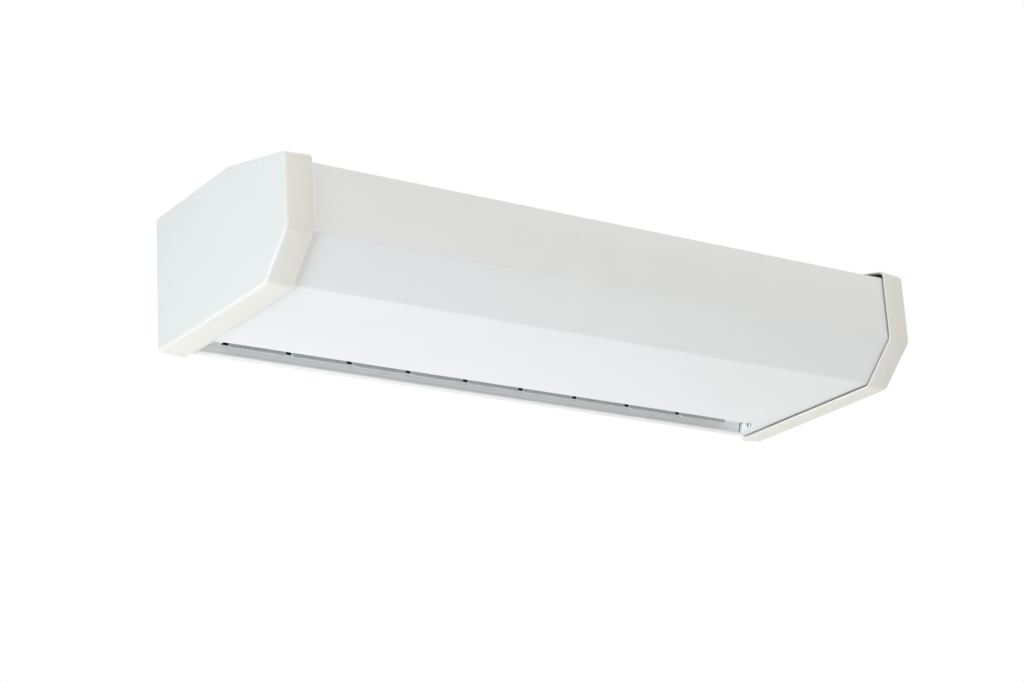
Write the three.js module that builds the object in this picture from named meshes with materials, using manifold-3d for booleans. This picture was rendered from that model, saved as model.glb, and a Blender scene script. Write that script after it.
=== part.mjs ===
// Compact wall-mounted air curtain for a 0.9 m door: a folded steel casing between two moulded end
// caps, with a nine-segment cross-flow blower inside. Air is drawn in through the sloping grille at
// the top front and leaves through the slot underneath, next to the wall.
// Millimetres. +X runs along the casing, the wall is the plane y = 0, the front faces -Y, +Z is up.
// Heights are written from the underside of the end caps, and the finished group is lowered so that
// its origin is the middle of the back panel's rear face.
import * as THREE from "three";
import { mergeVertices } from "three/addons/utils/BufferGeometryUtils.js";
import Module from "manifold-3d";

const wasm = await Module();
wasm.setup();

// ---------------------------------------------------------------- driving dimensions

// casing outline, seen from the end
const LENGTH = 900;
const DEPTH = 300;
const HEIGHT = 166;
const TOP_DEPTH = 172; // flat top, from the wall to the start of the slope
const FRONT_TOP = 137; // height of the upper edge of the front
const CHAMFER_TOP = 48.4; // height where the front turns into the chamfer
const CHAMFER_RUN = 49.5; // how far the chamfer reaches back along the underside
const ORIGIN_HEIGHT = 82; // height of the origin on the back panel

// clearances
const SEAT = 0.3; // gap between pieces that touch on the real product
const RUNNING_GAP = 4; // rotor to scroll
const CAP_SLIP = 1; // cap flange to cover

// end caps, moulded
const CAP_WIDTH = 34;
const CAP_WALL = 2.5;
const CAP_EDGE_R = 4;
const CAP_BEND_R = 7;
const CAP_DRAFT = 1.5; // how much the flange flares towards its rim
const CAP_RIM_WALL = 3.5; // thickness of the flange at its rim
const CAP_RIB = 1.6;
const CAP_RIB_HEIGHT = 4;
const FRONT_HOOK = [34, 41]; // behind the front, below its upper edge
const LOWER_HOOK = [104, 16]; // behind the front, above the underside
const REAR_HOOK = [26, 26]; // before the wall, below the top

// painted sheet
const SHEET = 1.2;
const BEND = 1.2; // inside bend radius
const HEM = 10; // width of the folded-back edges of the cover
const COVER_DROP = 6.2; // from the front's upper edge down to the cover's
const COVER_UNDER_CAP = 13; // how far the cover reaches under each cap
const COVER_BACK = 52.9; // distance of the cover's rear edge from the wall

// outlet trough, folded into the back panel
const RIM_DEPTH = 12;
const TROUGH_STEP = 4.2; // upright part of its rear wall, above the rim
const TROUGH_LEAN = 3.4; // how far the rear wall leans forward above that
const TROUGH_HEIGHT = 12.9; // deck above the rim
const TROUGH_WIDTH = 44.5; // rim to front wall
const TROUGH_LAP = 1.1; // how far the rear wall's cut edge lies below the deck
const WALL_RELIEF = 2.2; // gap between the rear wall and the right end plate
const OUTLET_MARGIN = 1; // opening in the deck beyond the scroll

// chassis end plates
const PLATE = 1.5;
const LEFT_CHAMBER = 44; // side face of the cap to the slot face of the plate
const RIGHT_CHAMBER = 45.4;

// intake grille, moulded
const GRILLE = 2;
const GRILLE_DROP = 6.5; // below the caps' outline
const SLOT_LENGTH = 86;
const SLOT_WIDTH = 9;
const SLOT_PITCH_X = 94;
const SLOT_PITCH_Y = 15.2;
const GRILLE_RAIL = 19;

// blower
const SEGMENTS = 9;
const TAB_NOTCH = 7;
const TAB_CORNER = 5;
const TAB_BOTTOM = 9; // height of the tabs' lower edge
const TAB_FACE = 25; // distance of the tabs from the wall
const TAB_HEIGHT = 9;
const TAB_LIP = 1.2; // height and depth of the lip turned back along the tabs' lower edge
const BLOWER_LEAD = 30.8; // left end plate to the scroll
const BLOWER_TRAIL = 32.4; // scroll to the right end plate
const SCROLL_SHEET = 1;
const ROTOR_D = 100;
const ROTOR_Y = -88;
const ROTOR_DROP = 68; // rotor axis below the top
const ROTOR_MARGIN = 7.5; // scroll end to rotor end
const BLADES = 12;
const BLADE_INNER_D = 76;
const BLADE_T = 0.9;
const DISC_T = 1.2;
const SPIRAL_START = 100; // degrees from the level rearward direction
const SPIRAL_GROWTH = 0.19;
const TONGUE_ANGLE = -112; // where the tongue's nose lies round the rotor
const NOSE_R = 4;
const BLOWER_END_MARGIN = 6; // blower end plate beyond the rotor
const BLOWER_END_GAP = 3; // blower end plate below the chassis
const BLOWER_END_CORNER = 40;
const BLOWER_END_FLANGE = 15;
const FOOT_FRONT = 20; // foot of the blower end, ahead of the trough
const FOOT_BACK = 30; // and its distance from the wall

// bearing end
const SHAFT_D = 8;
const STUB_LENGTH = 44;
const BUSH_D = 16;
const BUSH_LENGTH = 14;
const RING_D = 27;
const HOLDER_D = 58;
const HOLDER_FLANGE = 3;
const HOLDER_LENGTH = 17;

// motor end
const MOTOR_D = 90;
const BELL_FRONT = 16;
const STATOR = 22;
const BELL_REAR = 14;
const MOTOR_HOLE_GAP = 3.5;
const MOUNT_D = 14;
const MOUNT_LENGTH = 6;
const MOUNT_RADIUS = 52; // rubber mounts round the motor axis
const LUG_T = 3.5;
const COUPLING_D = 40;
const SCREW_D = 4;

// wall brackets
const BRACKET_INSET = 200; // from the end of the unit to the middle of the bracket
const BRACKET_T = 2;
const BRACKET_WIDTH = 60;
const BRACKET_HEIGHT = 42; // of the part that rests on the wall
const WINDOW_DROP = 25; // from the top of the unit to the window's upper edge
const HOOK = 15;

// electrics
const CAPACITOR_D = 30;
const CAPACITOR_LENGTH = 62;
const TERMINAL_LENGTH = 56;
const LEAD_D = 6;
const LEAD_PULL = 32; // how far the lead runs straight before it bends
const CAPACITOR_SETBACK = 72; // from the front
const CAPACITOR_DROP = 25; // below the front's upper edge
const CLIP_SCREW_DROP = 18;
const TERMINAL_SETBACK = 78;
const TERMINAL_DROP = 4.4; // below the chamfer's upper edge
const EARTH_SETBACK = 140;
const GROMMET_INSET = 22; // from the cap's rim
const GROMMET_Y = -36;
const GROMMET_HOLE = 20;

// ---------------------------------------------------------------- worked-out values

const HALF = LENGTH / 2;
const END_LEFT = -HALF + LEFT_CHAMBER; // slot faces of the chassis end plates
const END_RIGHT = HALF - RIGHT_CHAMBER;
const COVER_TOP = FRONT_TOP - COVER_DROP;
const COVER_INSET = CAP_WALL + CAP_SLIP; // outer faces of the painted sheet, below the caps' outline
const CHASSIS_INSET = COVER_INSET + SHEET + SEAT;
const GRILLE_SEAT = GRILLE_DROP + GRILLE + SEAT;
const RIM_Z = COVER_INSET;
const DECK_Z = RIM_Z + TROUGH_HEIGHT;
const WALL_CUT_Z = DECK_Z - TROUGH_LAP;
const TROUGH_FRONT = -(RIM_DEPTH + TROUGH_WIDTH);
const PANEL_FRONT = -(SHEET + SEAT); // foremost face that still clears the back panel
const SCROLL_X0 = END_LEFT + BLOWER_LEAD;
const SCROLL_X1 = END_RIGHT - BLOWER_TRAIL;
const TAB_PITCH = (SCROLL_X1 - SCROLL_X0) / SEGMENTS;
const ROTOR_Z = HEIGHT - ROTOR_DROP;
const ROTOR_X0 = SCROLL_X0 + ROTOR_MARGIN / 2;
const ROTOR_X1 = SCROLL_X1 - ROTOR_MARGIN / 2;
const ROTOR_R = ROTOR_D / 2;
const axisAt = [0, ROTOR_Y, ROTOR_Z];
const BORE_R = SHAFT_D / 2 + SEAT;
const BLOWER_LEFT = SCROLL_X0 - SEAT; // inner faces of the blower's end plates
const BLOWER_RIGHT = SCROLL_X1 + SEAT;
const BLOWER_BOTTOM = DECK_Z + SHEET + SEAT;
const MOTOR_X = BLOWER_RIGHT + PLATE + SEAT + MOUNT_LENGTH + SEAT; // front face of the motor's lugs
const CAP_RIM = HALF - CAP_WIDTH;
const INNER_REACH = HALF - CAP_WALL - CAP_RIB_HEIGHT - SEAT; // what clears the ribs in the caps
const END_FLANGE = INNER_REACH + END_LEFT;
const WINDOW_TOP = HEIGHT - WINDOW_DROP;
const BRACKET_BOTTOM = WINDOW_TOP - BRACKET_HEIGHT;
const BRACKET_X = HALF - BRACKET_INSET;
const GROMMET_X = CAP_RIM - GROMMET_INSET;

// places on the right end plate, as [y, z]
const capacitorAt = [-DEPTH + CAPACITOR_SETBACK, FRONT_TOP - CAPACITOR_DROP];
const terminalAt = [-DEPTH + TERMINAL_SETBACK, CHAMFER_TOP - TERMINAL_DROP];
const clipScrewAt = [capacitorAt[0], capacitorAt[1] - CLIP_SCREW_DROP];
const earthScrewAt = [-DEPTH + EARTH_SETBACK, CHAMFER_TOP / 2];

// ---------------------------------------------------------------- helpers

// Turns a closed geometry into a solid that can be joined and cut.
function solid(geometry) {
  geometry.deleteAttribute("normal");
  geometry.deleteAttribute("uv");
  const merged = mergeVertices(geometry, 1e-4);
  return new wasm.Manifold(
    new wasm.Mesh({
      numProp: 3,
      vertProperties: merged.attributes.position.array,
      triVerts: new Uint32Array(merged.index.array),
    }),
  );
}

const join = (first, ...others) => others.reduce((all, next) => all.add(next), first);
const cut = (first, ...others) => others.reduce((left, next) => left.subtract(next), first);

function box(x0, x1, y0, y1, z0, z1) {
  const g = new THREE.BoxGeometry(x1 - x0, y1 - y0, z1 - z0);
  return solid(g.translate((x0 + x1) / 2, (y0 + y1) / 2, (z0 + z1) / 2));
}

// An outline in (y, z), run along X.
const YZ_TO_WORLD = new THREE.Matrix4().makeBasis(
  new THREE.Vector3(0, 1, 0),
  new THREE.Vector3(0, 0, 1),
  new THREE.Vector3(1, 0, 0),
);
const shapeOf = (points) => new THREE.Shape(points.map(([a, b]) => new THREE.Vector2(a, b)));

function alongX(points, x0, x1) {
  const g = new THREE.ExtrudeGeometry(shapeOf(points), { depth: x1 - x0, bevelEnabled: false });
  return solid(g.applyMatrix4(YZ_TO_WORLD).translate(x0, 0, 0));
}

// An outline in (x, z), run along Y from y0 back to y1.
function alongY(points, y0, y1) {
  const g = new THREE.ExtrudeGeometry(shapeOf(points), { depth: y1 - y0, bevelEnabled: false });
  return solid(g.rotateX(Math.PI / 2).translate(0, y1, 0));
}

// A closed profile of [along, radius] points, revolved about the axis in which "along" grows.
const TURN = { X: [0, -1], "-X": [0, 1], Y: [0, 0], "-Y": [2, 0], Z: [1, 0], "-Z": [-1, 0] };

function revolve(profile, axis, at, segments = 24) {
  const outline = profile.map(([along, radius]) => new THREE.Vector2(radius, along));
  const [aboutX, aboutZ] = TURN[axis];
  const g = new THREE.LatheGeometry([...outline, outline[0].clone()], segments);
  return solidFacingOut(
    g
      .rotateX((aboutX * Math.PI) / 2)
      .rotateZ((aboutZ * Math.PI) / 2)
      .translate(...at),
  );
}

// The same solid whichever way round its profile was drawn.
function solidFacingOut(geometry) {
  const made = solid(geometry.clone());
  if (made.volume() > 0) return made;
  const index = geometry.index;
  for (let i = 0; i < index.count; i += 3) {
    const swapped = index.getX(i + 1);
    index.setX(i + 1, index.getX(i + 2));
    index.setX(i + 2, swapped);
  }
  return solid(geometry);
}

const rod = (radius, a, b, axis, at, segments = 24) =>
  revolve([[a, 0], [a, radius], [b, radius], [b, 0]], axis, at, segments);

const tube = (outer, inner, a, b, axis, at, segments = 24) =>
  revolve([[a, inner], [a, outer], [b, outer], [b, inner]], axis, at, segments);

// Moves an open path sideways, to its left for a positive distance, with mitred corners.
function shifted(path, distance) {
  return path.map((point, i) => {
    const before = path[Math.max(i - 1, 0)];
    const after = path[Math.min(i + 1, path.length - 1)];
    const u = new THREE.Vector2(point[0] - before[0], point[1] - before[1]).normalize();
    const v = new THREE.Vector2(after[0] - point[0], after[1] - point[1]).normalize();
    if (i === 0) u.copy(v);
    if (i === path.length - 1) v.copy(u);
    const along = u.clone().add(v).normalize();
    const reach = distance / along.dot(u);
    return [point[0] - along.y * reach, point[1] + along.x * reach];
  });
}

// Replaces the corner q between p and r by an arc.
function arcAt(p, q, r, radius, steps) {
  const corner = new THREE.Vector2(...q);
  const a = new THREE.Vector2(...p).sub(corner).normalize();
  const b = new THREE.Vector2(...r).sub(corner).normalize();
  const half = Math.acos(THREE.MathUtils.clamp(a.dot(b), -1, 1)) / 2;
  const centre = a.clone().add(b).normalize().multiplyScalar(radius / Math.sin(half)).add(corner);
  const start = a.multiplyScalar(radius / Math.tan(half)).add(corner).sub(centre);
  const end = b.multiplyScalar(radius / Math.tan(half)).add(corner).sub(centre);
  let turn = end.angle() - start.angle();
  if (turn > Math.PI) turn -= 2 * Math.PI;
  if (turn < -Math.PI) turn += 2 * Math.PI;
  return Array.from({ length: steps + 1 }, (_, k) => {
    const spoke = start.clone().rotateAround(new THREE.Vector2(), (turn * k) / steps);
    return [centre.x + spoke.x, centre.y + spoke.y];
  });
}

// Rounds the inner corners of an open path.
function rounded(path, radius, steps = 3) {
  const out = [path[0]];
  for (let i = 1; i < path.length - 1; i += 1) {
    out.push(...arcAt(path[i - 1], path[i], path[i + 1], radius, steps));
  }
  return [...out, path[path.length - 1]];
}

// Folded sheet: the path is its visible face, and its thickness lies to the right of the path.
function folded(path, thickness, x0, x1) {
  const middle = rounded(shifted(path, -thickness / 2), BEND + thickness / 2);
  const face = shifted(middle, thickness / 2);
  const back = shifted(middle, -thickness / 2);
  return alongX([...back, ...face.reverse()], x0, x1);
}

// The casing's outline, moved in by its own distance on each side, from the lower back corner round
// by the top: corners F, A, B, C, D, E.
function casingCorners({ back = 0, top = 0, slope = top, front = top, chamfer = top, bottom = top }) {
  const corners = [
    [0, 0],
    [0, HEIGHT],
    [-TOP_DEPTH, HEIGHT],
    [-DEPTH, FRONT_TOP],
    [-DEPTH, CHAMFER_TOP],
    [-DEPTH + CHAMFER_RUN, 0],
  ];
  const insets = [back, top, slope, front, chamfer, bottom];
  const sides = corners.map((p, i) => {
    const q = corners[(i + 1) % corners.length];
    const length = Math.hypot(q[0] - p[0], q[1] - p[1]);
    const inward = [-(q[1] - p[1]) / length, (q[0] - p[0]) / length];
    return {
      from: [p[0] + inward[0] * insets[i], p[1] + inward[1] * insets[i]],
      run: [q[0] - p[0], q[1] - p[1]],
    };
  });
  return sides.map((side, i) => {
    const last = sides[(i + sides.length - 1) % sides.length];
    const across = last.run[0] * side.run[1] - last.run[1] * side.run[0];
    const gap = [side.from[0] - last.from[0], side.from[1] - last.from[1]];
    const t = (gap[0] * side.run[1] - gap[1] * side.run[0]) / across;
    return [last.from[0] + last.run[0] * t, last.from[1] + last.run[1] * t];
  });
}

// The same outline with its four front corners rounded, and its two rear ones if asked.
function casingOutline(insets, radius, steps = 3, rearRadius = 0) {
  const c = casingCorners(insets);
  return c.flatMap((corner, i) => {
    const r = i < 2 ? rearRadius : radius;
    return r ? arcAt(c[(i + 5) % 6], corner, c[(i + 1) % 6], r, i < 2 ? 2 : steps) : [corner];
  });
}

// A closed skin through rings of equal length, with a flat end at each end.
function loft(rings) {
  const count = rings[0].length;
  const index = [];
  for (let i = 0; i < rings.length - 1; i += 1) {
    for (let j = 0; j < count; j += 1) {
      const a = i * count + j;
      const b = i * count + ((j + 1) % count);
      index.push(a, b, a + count, b, b + count, a + count);
    }
  }
  const flat = (ring) => ring.map(([, y, z]) => new THREE.Vector2(y, z));
  const last = (rings.length - 1) * count;
  for (const [a, b, c] of THREE.ShapeUtils.triangulateShape(flat(rings[0]), [])) index.push(a, c, b);
  for (const [a, b, c] of THREE.ShapeUtils.triangulateShape(flat(rings.at(-1)), [])) {
    index.push(last + a, last + b, last + c);
  }
  const g = new THREE.BufferGeometry();
  g.setAttribute("position", new THREE.Float32BufferAttribute(rings.flat(2), 3));
  return solidFacingOut(g.setIndex(index));
}

const polar = (radius, degrees) => {
  const angle = THREE.MathUtils.degToRad(degrees);
  return [ROTOR_Y + radius * Math.cos(angle), ROTOR_Z + radius * Math.sin(angle)];
};

// ---------------------------------------------------------------- finishes and the group

const finish = (color, roughness, metalness = 0) =>
  new THREE.MeshStandardMaterial({ color, roughness, metalness });
const FINISH = {
  moulding: () => finish("#e6e4dc", 0.45),
  paint: () => finish("#eceded", 0.5),
  black: () => finish("#17181a", 0.6),
  galvanised: () => finish("#a9adab", 0.42, 0.85),
  aluminium: () => finish("#c3c6c8", 0.4, 0.9),
  steel: () => finish("#8d9093", 0.35, 0.9),
  zinc: () => finish("#c9cbc8", 0.3, 0.9),
  rubber: () => finish("#202122", 0.85),
  bronze: () => finish("#9a7a48", 0.5, 0.8),
  cast: () => finish("#a4a7a9", 0.55, 0.7),
  capacitor: () => finish("#d8d9d6", 0.5),
  terminal: () => finish("#dcd8c8", 0.55),
  cable: () => finish("#7d7f80", 0.6),
};

const airCurtain = new THREE.Group();
airCurtain.position.z = -ORIGIN_HEIGHT;

// Adds a finished solid to the group as a named mesh.
function add(name, made, material) {
  const { vertProperties, triVerts } = made.getMesh();
  const g = new THREE.BufferGeometry();
  g.setAttribute("position", new THREE.BufferAttribute(vertProperties, 3));
  g.setIndex(new THREE.BufferAttribute(triVerts, 1));
  g.computeVertexNormals();
  const mesh = new THREE.Mesh(g, material());
  mesh.name = name;
  airCurtain.add(mesh);
}

// ---------------------------------------------------------------- screws

// Pan head with its bearing face at 0 and its shank running the other way.
function panScrew(size, length, axis, at, segments = 16) {
  const r = size / 2;
  const head = [[0, r], [0, size], [0.3 * size, 0.95 * size], [0.6 * size, 0.5 * size], [0.6 * size, 0]];
  return revolve([[-length, 0], [-length, r], ...head], axis, at, segments);
}

// Countersunk head, flush at 0.
function flatScrew(size, length, axis, at, segments = 10) {
  const r = size / 2;
  const profile = [[-length, 0], [-length, r], [-0.5 * size, r], [0, size], [0, 0]];
  return revolve(profile, axis, at, segments);
}

// ---------------------------------------------------------------- back panel and outlet trough

const windowX = [-BRACKET_X, BRACKET_X];
const windowBottom = BRACKET_BOTTOM - 2;

function backPanel() {
  const top = HEIGHT - COVER_INSET;
  const upright = RIM_Z + TROUGH_STEP;
  const path = [
    [-TOP_DEPTH + 1, top - 4.5],
    [-TOP_DEPTH + 1, top],
    [0, top],
    [0, RIM_Z],
    [-RIM_DEPTH, RIM_Z],
    [-RIM_DEPTH - 0.4, upright],
    [-RIM_DEPTH - TROUGH_LEAN, DECK_Z],
    [TROUGH_FRONT, DECK_Z],
    [TROUGH_FRONT, RIM_Z + 2 * SHEET + SEAT],
  ];
  const reach = INNER_REACH;
  const panel = folded(path, SHEET, -reach, reach);
  // between the end plates only: the deck, its front wall and the rear wall above the rim
  const beyond = [
    [-reach - 1, END_LEFT + SEAT],
    [END_RIGHT - WALL_RELIEF, reach + 1],
  ].flatMap(([x0, x1]) => [
    box(x0, x1, TROUGH_FRONT - 2 * SHEET, -RIM_DEPTH, RIM_Z - 1, DECK_Z + 2 * SHEET),
    box(x0, x1, -RIM_DEPTH - 1, -RIM_DEPTH + 2 * BEND + SHEET, RIM_Z + SHEET, DECK_Z + 2 * SHEET),
  ]);
  const opening = box(
    SCROLL_X0 - OUTLET_MARGIN, SCROLL_X1 + OUTLET_MARGIN,
    TROUGH_FRONT + 2, -RIM_DEPTH, WALL_CUT_Z, DECK_Z + 3,
  );
  const windows = windowX.map((x) =>
    box(x - BRACKET_WIDTH / 2 - 2, x + BRACKET_WIDTH / 2 + 2, -SHEET - 1, 1, windowBottom, WINDOW_TOP),
  );
  const inlet = rod(GROMMET_HOLE / 2, top - 5, top + 5, "Z", [GROMMET_X, GROMMET_Y, 0], 16);
  return cut(panel, ...beyond, opening, inlet, ...windows);
}
add("back_panel", backPanel(), FINISH.paint);

// ---------------------------------------------------------------- front cover

const COVER_END = CAP_RIM + COVER_UNDER_CAP;
const coverScrewX = CAP_RIM + COVER_UNDER_CAP / 2 + 0.5;
const coverScrews = [
  { name: "front", axis: "-Y", y: -DEPTH + COVER_INSET, z: (FRONT_TOP + CHAMFER_TOP) / 2 },
  { name: "bottom", axis: "-Z", y: -DEPTH / 2, z: COVER_INSET },
];

function frontCover() {
  const c = casingCorners({ top: COVER_INSET });
  const front = c[3][0];
  const path = [[-COVER_BACK, c[5][1]], c[5], c[4], [front, COVER_TOP]];
  const sheet = folded(path, SHEET, -COVER_END, COVER_END);
  const hemLeft = END_LEFT + 2;
  const hemRight = END_RIGHT - 2;
  const inside = SHEET - 0.05;
  const topHem = box(hemLeft, hemRight, front + inside, front + 2 * SHEET, COVER_TOP - HEM, COVER_TOP);
  const rearHem = box(
    hemLeft, hemRight,
    -COVER_BACK - HEM, -COVER_BACK,
    RIM_Z + inside, RIM_Z + 2 * SHEET,
  );
  const holes = coverScrews.flatMap(({ axis, y, z }) =>
    [-1, 1].map((side) => rod(SCREW_D / 2 + SEAT, -9, 1, axis, [side * coverScrewX, y, z], 12)),
  );
  const sinks = coverScrews.flatMap(({ axis, y, z }) =>
    [-1, 1].map((side) =>
      revolve(
        [[-SCREW_D / 2, 0], [-SCREW_D / 2, SCREW_D / 2], [SEAT, SCREW_D + 2 * SEAT], [SEAT, 0]],
        axis,
        [side * coverScrewX, y, z],
        12,
      ),
    ),
  );
  return cut(join(sheet, topHem, rearHem), ...holes, ...sinks);
}
add("front_cover", frontCover(), FINISH.paint);

// ---------------------------------------------------------------- chassis end plates

const capScrewAt = [-32.4, RIM_Z + 6.6];
const hooks = [
  [-DEPTH + FRONT_HOOK[0], FRONT_TOP - FRONT_HOOK[1]],
  [-DEPTH + LOWER_HOOK[0], LOWER_HOOK[1]],
  [-REAR_HOOK[0], HEIGHT - REAR_HOOK[1]],
];
const HOOK_WIDTH = 9;
const HOOK_T = 2.4;
const slotRear = -RIM_DEPTH - 2.5;
const slotFront = -COVER_BACK + SEAT;

function chassisEnd(x, outward) {
  const insets = {
    back: SHEET + SEAT,
    top: CHASSIS_INSET,
    slope: GRILLE_SEAT,
    front: CHASSIS_INSET,
    chamfer: CHASSIS_INSET,
    bottom: CHASSIS_INSET,
  };
  const inner = Object.fromEntries(Object.entries(insets).map(([side, inset]) => [side, inset + PLATE]));
  const x0 = Math.min(x, x + outward * END_FLANGE);
  const x1 = Math.max(x, x + outward * END_FLANGE);
  const hollow0 = outward > 0 ? x + PLATE : x0 - 1;
  const hollow1 = outward > 0 ? x1 + 1 : x - PLATE;
  const body = alongX(casingOutline(insets, BEND + PLATE, 3, BEND + PLATE), x0, x1);
  const foot = box(x0, x1, slotFront, slotRear, RIM_Z, CHASSIS_INSET + PLATE + 0.1);
  const shell = cut(
    join(body, foot),
    alongX(casingOutline(inner, BEND, 3, BEND), hollow0, hollow1),
    box(hollow0, hollow1, slotFront + PLATE, slotRear - PLATE, RIM_Z + PLATE, CHASSIS_INSET + PLATE + 1),
  );
  const screwHoles = coverScrews.map(({ axis, y, z }) =>
    rod(SCREW_D / 2 + 3 * SEAT, -9, 0, axis, [outward * coverScrewX, y, z], 12),
  );
  const capScrewHole = rod(SCREW_D / 2 + SEAT, -3, 3, "X", [x, ...capScrewAt], 12);
  const hookWindows = hooks.map(([y, z]) =>
    box(x - 3, x + 3, y - HOOK_WIDTH / 2 - SEAT, y + HOOK_WIDTH / 2 + SEAT, z - SEAT, z + HOOK_T + 2),
  );
  return cut(shell, ...screwHoles, capScrewHole, ...hookWindows);
}

const motorHole = rod(MOTOR_D / 2 + MOTOR_HOLE_GAP, END_RIGHT - 2, END_RIGHT + 4, "X", axisAt, 20);
const inletPath = box(
  END_RIGHT, END_RIGHT + END_FLANGE + 1,
  GROMMET_Y - GROMMET_HOLE / 2 - 4, GROMMET_Y + GROMMET_HOLE / 2 + 4,
  HEIGHT - 12, HEIGHT,
);
add("chassis_end_left", chassisEnd(END_LEFT, -1), FINISH.paint);
const panelHoles = [
  [1.6, clipScrewAt],
  [SCREW_D / 2, earthScrewAt],
].map(([r, [y, z]]) => rod(r + SEAT, END_RIGHT - 2, END_RIGHT + 4, "X", [0, y, z], 8));
add("chassis_end_right", cut(chassisEnd(END_RIGHT, 1), motorHole, inletPath, ...panelHoles), FINISH.paint);

// ---------------------------------------------------------------- end caps

// Rings of the cap's skin at a distance from its side face: the edge between side and flange is a
// quarter circle, and the flange then flares evenly to its rim.
function capRing(u, inset, side) {
  const radius = Math.max(CAP_BEND_R - inset, 1);
  return casingOutline({ back: -20, top: inset }, radius).map(([y, z]) => [side * (HALF - u), y, z]);
}

function endCap(side, plateFace) {
  const skin = (wall, steps) => {
    const r = CAP_EDGE_R - wall;
    return Array.from({ length: steps + 1 }, (_, k) => {
      const a = (Math.PI / 2) * (k / steps);
      return [wall + r * (1 - Math.cos(a)), wall + r * (1 - Math.sin(a))];
    });
  };
  const outer = [...skin(0, 3), [CAP_WIDTH, -CAP_DRAFT]];
  const inner = [[CAP_WIDTH, CAP_RIM_WALL - CAP_DRAFT], ...skin(CAP_WALL, 1).reverse()];
  const shell = loft([...outer, ...inner].map(([u, inset]) => capRing(u, inset, side)));
  const behindWall = box(-HALF - 1, HALF + 1, 0, 40, -10, HEIGHT + 10);

  // ribs on the inside of the side face, kept within the moulding
  const u0 = HALF - CAP_WALL + 0.5;
  const span = (a, b) => (side > 0 ? [a, b] : [-b, -a]);
  const coreOutline = casingOutline({ back: 0.5, top: CAP_WALL - 0.4 }, CAP_BEND_R - CAP_WALL);
  const core = alongX(coreOutline, ...span(CAP_RIM, u0));
  const ribX = span(u0 - CAP_RIB_HEIGHT, u0);
  const uprights = [-60, -115, -170, -225].map((y) =>
    box(...ribX, y - CAP_RIB / 2, y + CAP_RIB / 2, -5, HEIGHT + 5),
  );
  const levels = [55, 110].map((z) => box(...ribX, -DEPTH - 5, -2, z - CAP_RIB / 2, z + CAP_RIB / 2));
  const ribs = join(...uprights, ...levels).intersect(core);

  // screw boss and snap hooks reach through to the chassis end plate
  const plateOuter = Math.abs(plateFace) + PLATE;
  const boss = cut(
    rod(4.2, ...span(plateOuter + SEAT, u0), "X", [0, ...capScrewAt], 16),
    rod(SCREW_D / 2 + SEAT, ...span(plateOuter - 1, plateOuter + 16), "X", [0, ...capScrewAt], 12),
  );
  const arms = hooks.map(([y, z]) => {
    const tip = Math.abs(plateFace) - SEAT;
    return join(
      box(...span(tip - 6, u0), y - HOOK_WIDTH / 2, y + HOOK_WIDTH / 2, z, z + HOOK_T),
      box(...span(tip - 6, u0), y - CAP_RIB / 2, y + CAP_RIB / 2, z + 0.2, z + HOOK_T + 1.4),
      box(...span(tip - 4, tip), y - HOOK_WIDTH / 2, y + HOOK_WIDTH / 2, z - 1.6, z + 0.2),
    );
  });
  return cut(join(shell, ribs, boss, ...arms), behindWall);
}
add("end_cap_left", endCap(-1, END_LEFT), FINISH.moulding);
add("end_cap_right", endCap(1, END_RIGHT), FINISH.moulding);

for (const [name, x, axis] of [["left", END_LEFT, "X"], ["right", END_RIGHT, "-X"]]) {
  const seat = axis === "X" ? x + SEAT : x - SEAT;
  add(`cap_screw_${name}`, panScrew(4.2, 14, axis, [seat, ...capScrewAt], 12), FINISH.zinc);
}
for (const { name, axis, y, z } of coverScrews) {
  add(`cover_screw_left_${name}`, flatScrew(SCREW_D, 8, axis, [-coverScrewX, y, z]), FINISH.zinc);
  add(`cover_screw_right_${name}`, flatScrew(SCREW_D, 8, axis, [coverScrewX, y, z]), FINISH.zinc);
}

// ---------------------------------------------------------------- intake grille

function intakeGrille() {
  const corners = casingCorners({ top: GRILLE_DROP });
  const [rear, front] = [corners[2], corners[3]];
  const run = Math.hypot(rear[0] - front[0], rear[1] - front[1]);
  const tilt = Math.atan2(rear[1] - front[1], rear[0] - front[0]);
  const y0 = -DEPTH + COVER_INSET + 2 * SHEET + SEAT; // just behind the cover's hem
  const y1 = -TOP_DEPTH + 0.5 - SEAT; // just before the top panel's down-turned edge
  const v0 = (y0 - front[0]) / Math.cos(tilt);
  const v1 = (y1 - front[0]) / Math.cos(tilt);
  const half = END_RIGHT + END_FLANGE - 3;

  // worked out flat, X across and Y up the slope with the top face at 0, then tilted
  const slab = (x, v, thick, w, d, h) => {
    const g = new THREE.BoxGeometry(w, d, h).translate(x, v, thick);
    return solid(g.rotateX(tilt).translate(0, front[0], front[1]));
  };
  const middle = (v0 + v1) / 2;
  const columns = Math.floor((2 * (CAP_RIM - 10)) / SLOT_PITCH_X);
  const rows = Math.floor((v1 - v0 - 12) / SLOT_PITCH_Y);
  const slots = Array.from({ length: columns * rows }, (_, k) => {
    const x = ((k % columns) - (columns - 1) / 2) * SLOT_PITCH_X;
    const v = middle + (Math.floor(k / columns) - (rows - 1) / 2) * SLOT_PITCH_Y;
    return slab(x, v, -GRILLE / 2, SLOT_LENGTH, SLOT_WIDTH, GRILLE + 2);
  });
  const sheet = slab(0, middle, -GRILLE / 2, 2 * half, v1 - v0, GRILLE);
  const railTop = GRILLE_DROP - CAP_WALL - SEAT;
  const rails = [-1, 1].map((side) => {
    const x = side * (half - GRILLE_RAIL / 2);
    return slab(x, middle - 1.5, (railTop - 1) / 2, GRILLE_RAIL, v1 - v0 - 3, railTop + 1);
  });
  const lip = box(END_LEFT + 3, END_RIGHT - 3, y0, y0 + GRILLE, front[1] - 9, front[1] - 0.5);
  return join(cut(sheet, ...slots), ...rails, lip);
}
add("intake_grille", intakeGrille(), FINISH.black);

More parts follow.
